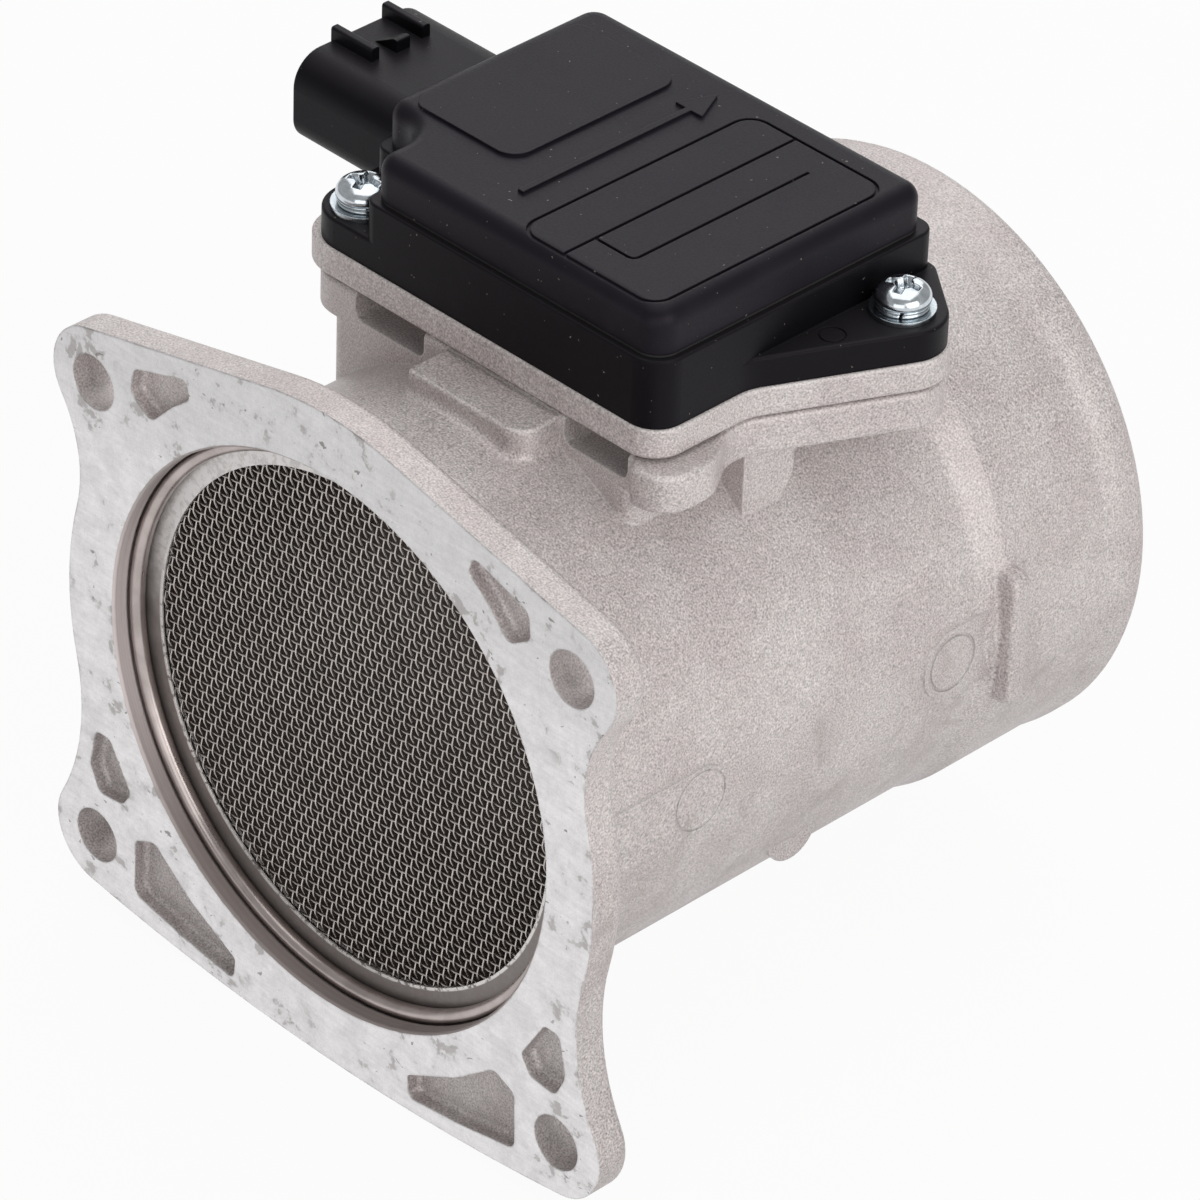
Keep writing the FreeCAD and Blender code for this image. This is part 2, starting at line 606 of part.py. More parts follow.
# six shallow pockets in the flange's face, the left ones mirror images of the right ones
sk = new_sketch(housing, "face_pockets_outline", "XZ_Plane")
UP = [(26.3, 40.9, 1.2), (29.9, 37.9, 12), (33.9, 33.7, 1.6), (37.9, 36.3, 1.6), (37.4, 40.4, 1.8),
      (27.1, 43.6, 1.2)]
SIDE = [(42.5, -22.3, 1.2), (45.4, -22.3, 1.3), (46.7, -28.6, 3), (44.9, -32.4, 1.6), (40.0, -31.9, 1.6),
        (38.3, -29.3, 1.3)]
LOW = [(17.0, -45.3, 0.9), (26.3, -40.4, 20), (33.4, -34.8, 1.4), (37.4, -36.5, 1.4), (37.7, -45.6, 1.6),
       (27.5, -47.6, 30), (17.4, -48.9, 1.1)]
for corners in (UP, SIDE, LOW):
    draw(sk, rounded(corners))
    draw(sk, rounded([(-x, z, r) for x, z, r in reversed(corners)]))
pocket(housing, sk, "face_pockets", "sizes.pocket_depth")
soften(housing, "face_pocket_floors", "Fillet", "sizes.pocket_round",
       lambda e: ends_at(e, 1, S["pocket_depth"]) and math.hypot(e.CenterOfMass.x, e.CenterOfMass.z) > 44)

# round marks of the casting tools, and the tab that sets the hose's turn
tab0, tab1 = S["tab_near"], S["tab_near"] + S["tab_thick"]
sk = new_sketch(housing, "side_pad_outline", "YZ_Plane", "38")
draw(sk, rounded([(tab0 - 13.6, -5.8, 5.2), (tab0 + 0.4, -5.8, 0), (tab0 + 0.4, 5.0, 0),
                  (tab0 - 13.6, 5.0, 5.2)]))
pad(housing, sk, "side_pad", "4.12")
sk = new_sketch(housing, "side_ring_outline", "YZ_Plane", "42.12")
circle(sk, tab0 - 8.2, -0.4, 4.4)
circle(sk, tab0 - 8.2, -0.4, 4.0)
pocket(housing, sk, "side_ring", "0.25")
sk = new_sketch(housing, "near_ring_outline", "YZ_Plane", "41.97")
circle(sk, 28.0, 0, 4.6)
circle(sk, 28.0, 0, 4.3)
pocket(housing, sk, "near_ring", "0.15")
sk = new_sketch(housing, "hose_tab_outline", "YZ_Plane", "38")
draw(sk, rounded(box_corners(tab0, tab1, -S["tab_half"], S["tab_half"], 0)))
pad(housing, sk, "hose_tab", "sizes.tab_reach - 38")
soften(housing, "hose_tab_ends", "Fillet", "1.9",
       lambda e: ends_at(e, 0, S["tab_reach"]) and abs(abs(e.CenterOfMass.z) - S["tab_half"]) < 1e-3)
soften(housing, "hose_tab_round", "Fillet", "0.9", lambda e: ends_at(e, 0, S["tab_reach"]))
soften(housing, "hose_tab_foot", "Fillet", "0.7",
       lambda e: all(abs(v.Point.y - tab0) < 1e-3 and v.Point.x > 39 for v in e.Vertexes)
       and max(v.Point.x for v in e.Vertexes) < 43.3 and e.Length > 3)

# The screen in the mouth: frame, woven screen, wire ring
frame = new_body("screen_frame")
sk = new_sketch(frame, "frame_profile", "XY_Plane")
y0, t = S["frame_near"], S["frame_sheet"]
y1 = S["seat_depth"]
draw(sk, rounded([
    (FRAME_IN_R, y0, 0), (FRAME_OUT_R, y0, 0), (FRAME_OUT_R, y1, 0), (FRAME_IN_R + 0.25, y1, 0),
    (FRAME_IN_R + 0.25, y1 - t, 0), (FRAME_OUT_R - t, y1 - t, 0), (FRAME_OUT_R - t, y0 + t, 0),
    (FRAME_IN_R, y0 + t, 0),
]))
turn(frame, sk, "frame_ring", "Revolution")

mesh = new_body("screen_mesh")
mid_y = (y0 + y1) / 2
sk = new_sketch(mesh, "mesh_disc_outline", "XZ_Plane", "-%s" % (mid_y - S["screen_web"] / 2))
circle(sk, 0, 0, SCREEN_R, SCREEN_R_X)
pad(mesh, sk, "mesh_disc", "sizes.screen_web", back=True)
sk = new_sketch(mesh, "mesh_rim_outline", "XZ_Plane", "-%s" % (y0 + t))
circle(sk, 0, 0, SCREEN_R, SCREEN_R_X)
circle(sk, 0, 0, FRAME_IN_R + 0.6)
pad(mesh, sk, "mesh_rim", "%s" % (y1 - y0 - 2 * t), back=True)
turn_rad = math.radians(S["screen_turn"])
ct, st = math.cos(turn_rad), math.sin(turn_rad)


def spun(x, z):
    return (x * ct - z * st, x * st + z * ct)


# ridges along the wires, upright ones in front and level ones behind
reach = FRAME_IN_R - 1.0
half = int(reach / S["screen_pitch"]) + 1
for upright in (True, False):
    side = mid_y - S["screen_web"] / 2 if upright else mid_y + S["screen_web"] / 2
    sk = new_sketch(mesh, "ridges_%s" % ("front" if upright else "rear"), "XZ_Plane", "-%s" % side)
    for i in range(-half, half):
        a = (i + 0.5) * S["screen_pitch"]
        if abs(a) > reach - 2:
            continue
        long_half = math.sqrt(reach * reach - a * a)
        corners = [(a - 0.3, -long_half), (a + 0.3, -long_half), (a + 0.3, long_half), (a - 0.3, long_half)]
        if not upright:
            corners = [(z, x) for x, z in reversed(corners)]
        draw(sk, rounded([spun(x, z) + (0,) for x, z in corners]))
    pad(mesh, sk, "ridge_rows_%s" % ("front" if upright else "rear"), "0.12", back=not upright)
sk = new_sketch(mesh, "gaps_outline", "XZ_Plane", "-%s" % (mid_y - 1))
gap_half = S["screen_gap"] / 2
gap_count = 0
for i in range(-half, half + 1):
    for j in range(-half, half + 1):
        cx, czz = i * S["screen_pitch"], j * S["screen_pitch"]
        if math.hypot(abs(cx) + gap_half, abs(czz) + gap_half) > FRAME_IN_R - 0.4:
            continue
        corners = box_corners(cx - gap_half, cx + gap_half, czz - gap_half, czz + gap_half, 0)
        draw(sk, rounded([spun(x, z) + (0,) for x, z, _ in corners]))
        gap_count += 1
pocket(mesh, sk, "gaps", "2")
print("screen gaps", gap_count)

ring = new_body("retaining_ring")
sk = new_sketch(ring, "wire_outline", "XY_Plane")
circle(sk, RING_R, S["ring_mid_y"], S["ring_wire_r"], "sizes.ring_wire_r")
turn(ring, sk, "wire_ring", "Revolution", "sizes.ring_angle")

# The module's metal: gasket and base plate
gasket = new_body("base_gasket")
sk = new_sketch(gasket, "gasket_outline", "XY_Plane", "sizes.deck_top")
draw(sk, rounded(inset(MODULE, 1.3)))
circle(sk, 0, S["holder_y"], S["holder_r"] + 1.3, "sizes.holder_r + 1.3")
for x, y in ((S["screw_ax"], S["screw_ay"]), (S["screw_bx"], S["screw_by"])):
    circle(sk, x, y, S["thread_r"] + 0.6, "sizes.thread_r + 0.6")
pad(gasket, sk, "gasket_sheet", "sizes.gasket_thick")

plate = new_body("base_plate")
sk = new_sketch(plate, "plate_outline", "XY_Plane", PLATE_LOW_X)
draw(sk, rounded(PLATE))
pad(plate, sk, "plate_slab", "sizes.plate_thick")
soften(plate, "plate_round", "Fillet", "0.7", lambda e: ends_at(e, 2, PLATE_LOW))
soften(plate, "plate_lip_round", "Fillet", "0.35", lambda e: ends_at(e, 2, PLATE_TOP))
sk = new_sketch(plate, "plate_holes", "XY_Plane", PLATE_TOP_X)
circle(sk, 0, S["holder_y"], S["holder_r"] + S["holder_gap"], "sizes.holder_r + sizes.holder_gap")
for x, y in ((S["screw_ax"], S["screw_ay"]), (S["screw_bx"], S["screw_by"])):
    circle(sk, x, y, S["thread_r"] + S["screw_gap"], "sizes.thread_r + sizes.screw_gap")
pocket(plate, sk, "plate_bores", "sizes.plate_thick + 1")
sk = new_sketch(plate, "cap_seat_outline", "XY_Plane", PLATE_TOP_X)
circle(sk, 0, S["holder_y"], S["holder_cap_r"] + S["holder_gap"], "sizes.holder_cap_r + sizes.holder_gap")
pocket(plate, sk, "cap_seat", "sizes.holder_cap")

# The case with its plug socket
case = new_body("case")
sk = new_sketch(case, "foot_outline", "XY_Plane", PLATE_TOP_X)
draw(sk, rounded(MODULE))
pad(case, sk, "foot", "sizes.case_foot")
soften(case, "foot_round", "Fillet", "0.5", lambda e: ends_at(e, 2, EAR_TOP))
sk = new_sketch(case, "wall_outline", "XY_Plane", PLATE_TOP_X)
draw(sk, rounded(CASE))
pad(case, sk, "wall", "sizes.case_height")
soften(case, "wall_round", "Fillet", "0.35", lambda e: ends_at(e, 2, WALL_TOP))
ym, wide = S["plug_mid"], S["plug_wide"]
SOCKET = [
    (ym - wide / 2, S["plug_low"], 3.6), (ym + wide / 2, S["plug_low"], 3.6),
    (ym + wide / 2, S["plug_high"], S["plug_round"]), (ym - wide / 2, S["plug_high"], S["plug_round"]),
]
sk = new_sketch(case, "socket_outline", "YZ_Plane", "sizes.plug_face")
draw(sk, rounded(SOCKET))
pad(case, sk, "socket", "sizes.deck_left + 0.4 - sizes.plug_face")
soften(case, "socket_lip", "Fillet", "0.5", lambda e: ends_at(e, 0, S["plug_face"]))
sk = new_sketch(case, "inside_outline", "XY_Plane", WALL_TOP_X)
draw(sk, rounded(inset(CASE, S["case_wall"])))
pocket(case, sk, "inside", "sizes.case_height + 1")
sk = new_sketch(case, "shelf_outline", "XY_Plane", PLATE_TOP_X)
draw(sk, rounded(box_corners(S["deck_left"] + 1.0, -26.6, 46.0, 64.2, 0)))
pad(case, sk, "shelf", "sizes.blade_z - %s" % PLATE_TOP_X)
sk = new_sketch(case, "cavity_outline", "YZ_Plane", "sizes.plug_face")
draw(sk, rounded(inset(SOCKET, S["plug_wall"])))
pocket(case, sk, "cavity", "sizes.plug_depth", back=True)
sk = new_sketch(case, "keys_outline", "YZ_Plane", "sizes.plug_face")
for side in (-1, 1):
    y = ym + 0.4 + side * S["key_space"] / 2
    draw(sk, rounded([
        (y - S["key_thick"] / 2, S["plug_high"] - 0.6, 0), (y + S["key_thick"] / 2, S["plug_high"] - 0.6, 0),
        (y + S["key_thick"] / 2, S["plug_high"] + S["key_tall"], 0.4),
        (y - S["key_thick"] / 2, S["plug_high"] + S["key_tall"], 0.4),
    ]))
pad(case, sk, "keys", "sizes.key_len")
sk = new_sketch(case, "latch_outline", "XZ_Plane", "-%s" % (ym + 0.4 - S["latch_wide"] / 2))
top = S["plug_high"]
draw(sk, rounded([(-49.8, top - 0.4, 0), (-45.5, top - 0.4, 0), (-45.5, top + S["latch_rise"], 0.2),
                  (-46.3, top + S["latch_rise"], 0.3), (-49.8, top, 0)]))
pad(case, sk, "latch", "sizes.latch_wide", back=True)
sk = new_sketch(case, "blade_slots_outline", "YZ_Plane", "sizes.plug_face + sizes.plug_depth - 0.5")
g = S["blade_gap"]
BLADES = [ym + (i - 1.5) * S["blade_pitch"] for i in range(4)]
for y in BLADES:
    draw(sk, rounded(box_corners(y - S["blade_wide"] / 2 - g, y + S["blade_wide"] / 2 + g,
                                 S["blade_z"], S["blade_z"] + S["blade_thick"] + g, 0)))
pocket(case, sk, "blade_slots", "9", back=True)
sk = new_sketch(case, "case_screw_holes", "XY_Plane", EAR_TOP_X)
for x, y in ((S["screw_ax"], S["screw_ay"]), (S["screw_bx"], S["screw_by"])):
    circle(sk, x, y, S["thread_r"] + S["screw_gap"], "sizes.thread_r + sizes.screw_gap")
pocket(case, sk, "case_screw_bores", "sizes.case_foot + 1")
sk = new_sketch(case, "ear_mark_outline", "XY_Plane", EAR_TOP_X)
circle(sk, 32.4, 58.6, 1.9)
circle(sk, 32.4, 58.6, 1.65)
pocket(case, sk, "ear_mark", "0.15")

# The lid with a plain flow arrow and line fields, no lettering
lid = new_body("lid")
LID = lid_outline(0)
sk = new_sketch(lid, "lid_outline", "XY_Plane", LID_LOW_X)
draw(sk, rounded(LID))
pad(lid, sk, "lid_block", "sizes.lid_height")
soften(lid, "lid_round_edge", "Fillet", "sizes.lid_round", lambda e: ends_at(e, 2, LID_TOP))
sk = new_sketch(lid, "lid_inside", "XY_Plane", LID_LOW_X)
draw(sk, rounded(inset(LID, S["lid_wall"])))
pocket(lid, sk, "lid_hollow", "sizes.lid_height - sizes.lid_wall", back=True)
sk = new_sketch(lid, "field_outline", "XY_Plane", LID_TOP_X + " - 0.2")
draw(sk, rounded([(-30.4, 42.6, 2.4), (-10.8, 42.6, 3.2), (-10.8, 73.4, 3.2), (-30.4, 73.4, 1.6)]))
pad(lid, sk, "raised_field", "sizes.panel_rise + 0.2")
sk = new_sketch(lid, "arrow_outline", "XY_Plane", LID_TOP_X + " - 0.2")
ax = -4.7
draw(sk, rounded([(ax - 0.5, 38.0, 0), (ax + 0.5, 38.0, 0), (ax + 0.5, 68.6, 0), (ax + 2.6, 68.6, 0.2),
                  (ax, 74.2, 0.2), (ax - 2.6, 68.6, 0.2), (ax - 0.5, 68.6, 0)]))
pad(lid, sk, "arrow", "sizes.panel_rise + 0.2")
m = S["mark_wide"] / 2
sk = new_sketch(lid, "lines_outline", "XY_Plane", LID_TOP_X)
FIELD = [(1.3, 31.9, 3.0), (26.2, 31.9, 3.0), (26.2, 74.3, 3.0), (1.3, 74.3, 3.0)]
draw(sk, rounded(inset(FIELD, -m)))
draw(sk, rounded([(x, y, r) for x, y, r in inset(FIELD, m)]))
pocket(lid, sk, "field_line", "sizes.mark_depth")
sk = new_sketch(lid, "split_outline", "XY_Plane", LID_TOP_X)
draw(sk, rounded(box_corners(9.6 - m, 9.6 + m, 32.0, 74.2, 0)))
pocket(lid, sk, "split_line", "sizes.mark_depth")
sk = new_sketch(lid, "bar_outline", "XY_Plane", LID_TOP_X)
draw(sk, rounded([(9.6, 37.6 - m, 0), (16.6 + m, 37.6 - m, 1.4), (16.6 + m, 69.6, 0),
                  (16.6 - m, 69.6, 0), (16.6 - m, 37.6 + m, 0.9), (9.6, 37.6 + m, 0)]))
pocket(lid, sk, "bar_line", "sizes.mark_depth")

sealant = new_body("lid_sealant")
sk = new_sketch(sealant, "sealant_outline", "XY_Plane", WALL_TOP_X)
draw(sk, rounded(lid_outline(0.15)))
draw(sk, rounded(inset(CASE, S["case_wall"])))
pad(sealant, sk, "sealant_bead", "sizes.seam")

# What measures: holder with seal, four pins, two elements
holder = new_body("element_holder")
sk = new_sketch(holder, "holder_stem", "XY_Plane", "sizes.holder_low")
circle(sk, 0, S["holder_y"], S["holder_r"], "sizes.holder_r")
pad(holder, sk, "stem", "%s - sizes.holder_low" % PLATE_TOP_X)
sk = new_sketch(holder, "holder_head", "XY_Plane", PLATE_TOP_X + " - sizes.holder_cap")
circle(sk, 0, S["holder_y"], S["holder_cap_r"], "sizes.holder_cap_r")
pad(holder, sk, "head", "sizes.holder_cap")
sk = new_sketch(holder, "seal_groove_outline", "XY_Plane", "sizes.oring_z - 1")
circle(sk, 0, S["holder_y"], S["holder_r"] + 1)
circle(sk, 0, S["holder_y"], S["oring_mid_r"] - S["oring_wire_r"] - 0.05,
       "sizes.oring_mid_r - sizes.oring_wire_r - 0.05")
pocket(holder, sk, "seal_groove", "2", back=True)
PINS = [(sx * S["pin_x"], S["holder_y"] + sy * S["pin_y"]) for sy in (-1, 1) for sx in (-1, 1)]
sk = new_sketch(holder, "pin_holes_outline", "XY_Plane", PLATE_TOP_X)
for x, y in PINS:
    circle(sk, x, y, S["pin_r"] + 0.02, "sizes.pin_r + 0.02")
pocket(holder, sk, "pin_holes", "%s - sizes.holder_low + 1" % PLATE_TOP_X)

seal = new_body("holder_seal")
seal.setExpression("Placement.Base.y", "sizes.holder_y")
sk = new_sketch(seal, "seal_section", "XZ_Plane")
circle(sk, S["oring_mid_r"], S["oring_z"], S["oring_wire_r"], "sizes.oring_wire_r")
turn(seal, sk, "seal_ring", "Revolution")

for n, (x, y) in enumerate(PINS, start=1):
    pin = new_body("support_pin_%d" % n)
    sk = new_sketch(pin, "pin_%d_section" % n, "XY_Plane", "sizes.pin_low")
    circle(sk, x, y, S["pin_r"], "sizes.pin_r")
    pad(pin, sk, "pin_%d_rod" % n, "sizes.pin_high - sizes.pin_low")
    inner = x - math.copysign(S["pin_r"] - S["pin_flat"], x)
    sk = new_sketch(pin, "pin_%d_flat" % n, "XY_Plane", "sizes.pin_low - 1")
    far = inner - math.copysign(1.0, x)
    draw(sk, rounded(box_corners(min(inner, far), max(inner, far), y - 1, y + 1, 0)))
    pocket(pin, sk, "pin_%d_weld_flat" % n, "3", back=True)

for name, y, size in (("hot_element", S["holder_y"] - S["pin_y"], "hot_len"),
                      ("air_temperature_element", S["holder_y"] + S["pin_y"], "cold_len")):
    element = new_body(name)
    reach_x = S["pin_x"] - S["pin_r"] + S["pin_flat"]
    sk = new_sketch(element, name + "_lead", "YZ_Plane", "-(sizes.pin_x - sizes.pin_r + sizes.pin_flat)")
    circle(sk, y, S["element_z"], S["lead_r"], "sizes.lead_r")
    pad(element, sk, name + "_wire", "2 * (sizes.pin_x - sizes.pin_r + sizes.pin_flat)")
    sk = new_sketch(element, name + "_section", "YZ_Plane", "-sizes.%s / 2" % size)
    circle(sk, y, S["element_z"], S["bobbin_r"], "sizes.bobbin_r")
    pad(element, sk, name + "_body", "sizes.%s" % size)

# Terminals
for n, y in enumerate(BLADES, start=1):
    blade = new_body("terminal_%d" % n)
    sk = new_sketch(blade, "terminal_%d_side" % n, "XZ_Plane", "-%s" % (y - S["blade_wide"] / 2))
    z0, z1 = S["blade_z"], S["blade_z"] + S["blade_thick"]
    x0, x1 = S["blade_tip"], S["blade_bend"]
    draw(sk, rounded([(x0, z0 + 0.25, 0), (x0 + 1.2, z0, 0), (x1 - S["blade_thick"], z0, 0),
                      (x1 - S["blade_thick"], 51.6, 0), (x1, 51.6, 0), (x1, z1, 0.9), (x0 + 1.2, z1, 0),
                      (x0, z1 - 0.25, 0)]))
    pad(blade, sk, "terminal_%d_strip" % n, "sizes.blade_wide", back=True)

# Electronics on the base plate
board = new_body("circuit_board")
sk = new_sketch(board, "board_outline", "XY_Plane", PLATE_TOP_X)
edge = S["case_wall"] + 2.0
draw(sk, rounded(box_corners(-20.4, S["deck_right"] - edge,
                             S["deck_front"] + edge, S["deck_rear"] - edge, 0.5)))
circle(sk, 0, S["holder_y"], S["board_window"], "sizes.board_window")
pad(board, sk, "board_sheet", "sizes.board_thick")
BOARD_TOP_X = PLATE_TOP_X + " + sizes.board_thick"


def block(name, places, height):
    body = new_body(name)
    first = True
    for x, y, wx, wy in places:
        sk = new_sketch(body, name + "_outline", "XY_Plane", BOARD_TOP_X)
        draw(sk, rounded(box_corners(x - wx / 2, x + wx / 2, y - wy / 2, y + wy / 2, 0)))
        pad(body, sk, name + "_block", height)
        first = False
    return body


block("control_chip", [(17.0, 47.0, 9.0, 9.0)], "1.6")
block("power_transistor", [(16.5, 67.0, 6.6, 6.2)], "2.3")
block("ballast_resistor", [(-12.5, 68.5, 6.4, 3.2)], "0.7")
block("filter_capacitor", [(-13.5, 41.0, 3.2, 1.7)], "1.7")
block("trim_resistor", [(3.5, 39.0, 5.0, 2.6)], "0.6")

# Two screws with their washers, one node for each kind
WASHER_TOP_X = EAR_TOP_X + " + sizes.flat_thick"
HEAD_LOW_X = WASHER_TOP_X + " + sizes.spring_thick"
HEAD_LOW = EAR_TOP + S["flat_thick"] + S["spring_thick"]


def screw(tag, x, y):
    body = doc.addObject("PartDesign::Body", "screw_" + tag)
    sk = new_sketch(body, "shank_%s_section" % tag, "XY_Plane", HEAD_LOW_X + " - sizes.screw_len")
    circle(sk, x, y, S["thread_r"], "sizes.thread_r")
    pad(body, sk, "shank_" + tag, "sizes.screw_len")
    soften(body, "point_" + tag, "Chamfer", "0.5", lambda e: ends_at(e, 2, HEAD_LOW - S["screw_len"]))
    sk = new_sketch(body, "head_%s_section" % tag, "XY_Plane", HEAD_LOW_X)
    circle(sk, x, y, S["head_r"], "sizes.head_r")
    pad(body, sk, "head_" + tag, "sizes.head_tall")
    soften(body, "dome_" + tag, "Fillet", "sizes.head_round",
           lambda e: ends_at(e, 2, HEAD_LOW + S["head_tall"]))
    sk = new_sketch(body, "cross_%s_outline" % tag, "XY_Plane", HEAD_LOW_X + " + sizes.head_tall")
    a, b, k = S["recess_wide"] / 2, S["recess_r"], 0.95
    star = [(b, -a), (b, a), (k, k), (a, b), (-a, b), (-k, k),
            (-b, a), (-b, -a), (-k, -k), (-a, -b), (a, -b), (k, -k)]
    turned = []
    for px, py in star:
        turned.append((x + px * 0.94 - py * 0.34, y + px * 0.34 + py * 0.94, 0))
    draw(sk, rounded(turned))
    cut = pocket(body, sk, "cross_" + tag, "sizes.recess_deep")
    cut.TaperAngle = -20.0
    doc.recompute()
    return body


def washer(tag, x, y, radius, low, thick, split):
    body = doc.addObject("PartDesign::Body", "washer_" + tag)
    sk = new_sketch(body, "washer_%s_section" % tag, "XY_Plane", low)
    circle(sk, x, y, S[radius], "sizes." + radius)
    circle(sk, x, y, S["washer_in_r"], "sizes.washer_in_r")
    pad(body, sk, "washer_%s_disc" % tag, "sizes." + thick)
    if split:
        sk = new_sketch(body, "washer_%s_cut" % tag, "XY_Plane", low + " + sizes." + thick)
        draw(sk, rounded([(x + 1.2, y - 4.4, 0), (x + 1.75, y - 4.4, 0), (x + 1.75, y - 0.8, 0),
                          (x + 1.2, y - 0.8, 0)]))
        pocket(body, sk, "washer_%s_split" % tag, "sizes." + thick + " + 0.2")
    return body


SPOTS = (("a", S["screw_ax"], S["screw_ay"]), ("b", S["screw_bx"], S["screw_by"]))
groups = {
    "case_screws": [screw(tag, x, y) for tag, x, y in SPOTS],
    "spring_washers": [washer("s" + tag, x, y, "spring_r", WASHER_TOP_X, "spring_thick", True)
                       for tag, x, y in SPOTS],
    "flat_washers": [washer("f" + tag, x, y, "flat_r", EAR_TOP_X, "flat_thick", False)
                     for tag, x, y in SPOTS],
}
for name, members in groups.items():
    both = doc.addObject("Part::Compound", name)
    both.Label = name
    both.Links = members
    both.setExpression("Placement.Base.z", "sizes.duct_lift")
    bodies.append(both)

doc.recompute()

# Checks, then one file for each node
for obj in doc.Objects:
    if "Invalid" in obj.State or "Error" in obj.State:
        raise RuntimeError("%s: %s" % (obj.Name, obj.State))
os.makedirs("parts", exist_ok=True)
for body in bodies:
    shape = body.Shape
    if shape.isNull() or not shape.isValid():
        raise RuntimeError("%s has no valid shape" % body.Label)
    if len(body.Label) >= 60:
        raise RuntimeError("%s is too long a name" % body.Label)
    shape.exportStep(os.path.join("parts", body.Label + ".step"))
    box = shape.BoundBox
    print("%-24s solids %d volume %9.1f  x %.1f..%.1f y %.1f..%.1f z %.1f..%.1f"
          % (body.Label, len(shape.Solids), shape.Volume, box.XMin, box.XMax, box.YMin, box.YMax,
             box.ZMin, box.ZMax))
print("nodes", len(bodies))
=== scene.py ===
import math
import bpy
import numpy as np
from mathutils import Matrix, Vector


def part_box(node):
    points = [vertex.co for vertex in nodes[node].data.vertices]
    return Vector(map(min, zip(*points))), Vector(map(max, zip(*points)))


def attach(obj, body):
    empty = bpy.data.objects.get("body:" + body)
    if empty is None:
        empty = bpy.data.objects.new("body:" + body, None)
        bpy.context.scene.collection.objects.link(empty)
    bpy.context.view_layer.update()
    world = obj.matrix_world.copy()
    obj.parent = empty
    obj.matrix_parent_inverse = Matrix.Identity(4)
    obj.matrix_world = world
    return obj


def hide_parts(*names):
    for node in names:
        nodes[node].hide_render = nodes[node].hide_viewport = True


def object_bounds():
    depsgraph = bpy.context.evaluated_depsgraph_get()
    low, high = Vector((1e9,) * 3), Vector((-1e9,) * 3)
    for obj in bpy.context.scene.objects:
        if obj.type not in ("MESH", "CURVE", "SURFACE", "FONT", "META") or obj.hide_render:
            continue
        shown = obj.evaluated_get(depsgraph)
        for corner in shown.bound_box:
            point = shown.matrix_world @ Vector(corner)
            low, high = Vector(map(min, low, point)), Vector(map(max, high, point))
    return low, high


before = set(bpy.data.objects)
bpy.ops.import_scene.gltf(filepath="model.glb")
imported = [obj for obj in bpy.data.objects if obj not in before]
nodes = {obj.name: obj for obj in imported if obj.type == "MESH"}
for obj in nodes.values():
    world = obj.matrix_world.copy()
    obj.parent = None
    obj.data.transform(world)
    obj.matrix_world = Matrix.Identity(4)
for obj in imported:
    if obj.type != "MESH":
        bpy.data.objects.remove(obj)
# %% [markdown]
# # A mass air flow sensor, dressed for its portrait
# The imported solids already have the right shape and size: an aluminium casting with a flange, a wire screen
# in its mouth, and a black module with a plug socket on top. What is left is what the eye reads as material.
# Three things get finer meshes too: the screen's wires, the two screws and their spring washers.
# First come the modules that the lesson needs, and the box of the bare solids, whose lowest point later sets
# the floor.
# %% Modules and the box of the solids
from types import SimpleNamespace

solids_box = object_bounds()
MM = 0.001
print("solids:", len(nodes), "nodes, box", [[round(c, 4) for c in corner] for corner in solids_box])
# %% [markdown]
# ## The camera
# The photo was taken from a metre away with a long lens, from the front right and well above. A camera could
# be placed by eye, but then nothing lies quite where the picture has it. This one was found by fitting
# circles and edges of known place, so its numbers are not round. A camera in Blender looks along its own -Z
# with +Y up, so three unit vectors make its matrix: right, up and back. It is placed from the middle of the
# duct's mouth, which lies a little above the origin, the centre of the four flange holes.
# %% Camera
AXIS_Z = 2.835
AZIMUTH, ELEVATION, ROLL = math.radians(44.553), math.radians(34.81), math.radians(2.095)
FOCAL_PX, IMAGE_PX = 7881.84, 1200
AXIS_PX, AXIS_DEPTH = (323.62, 743.26), 1.033084
SENSOR_MM = 36.0

back = Vector((math.sin(AZIMUTH) * math.cos(ELEVATION), -math.cos(AZIMUTH) * math.cos(ELEVATION),
               math.sin(ELEVATION)))
level = (-back).cross(Vector((0, 0, 1))).normalized()
upright = level.cross(-back)
right = level * math.cos(ROLL) + upright * math.sin(ROLL)
up = upright * math.cos(ROLL) - level * math.sin(ROLL)
aside = (AXIS_PX[0] - IMAGE_PX / 2) / FOCAL_PX * AXIS_DEPTH
above = -(AXIS_PX[1] - IMAGE_PX / 2) / FOCAL_PX * AXIS_DEPTH
eye = Vector((0, 0, AXIS_Z * MM)) - right * aside - up * above + back * AXIS_DEPTH

camera_data = bpy.data.cameras.new("photo_camera")
camera_data.sensor_width = SENSOR_MM
camera_data.lens = SENSOR_MM * FOCAL_PX / IMAGE_PX
camera_data.clip_start, camera_data.clip_end = 0.05, 20.0
camera = bpy.data.objects.new("photo_camera", camera_data)
camera.matrix_world = Matrix.Translation(eye) @ Matrix((right, up, back)).transposed().to_4x4()
bpy.context.scene.collection.objects.link(camera)
bpy.context.scene.camera = camera
print("camera at", [round(c, 3) for c in eye], "lens", round(camera_data.lens, 1), "mm")
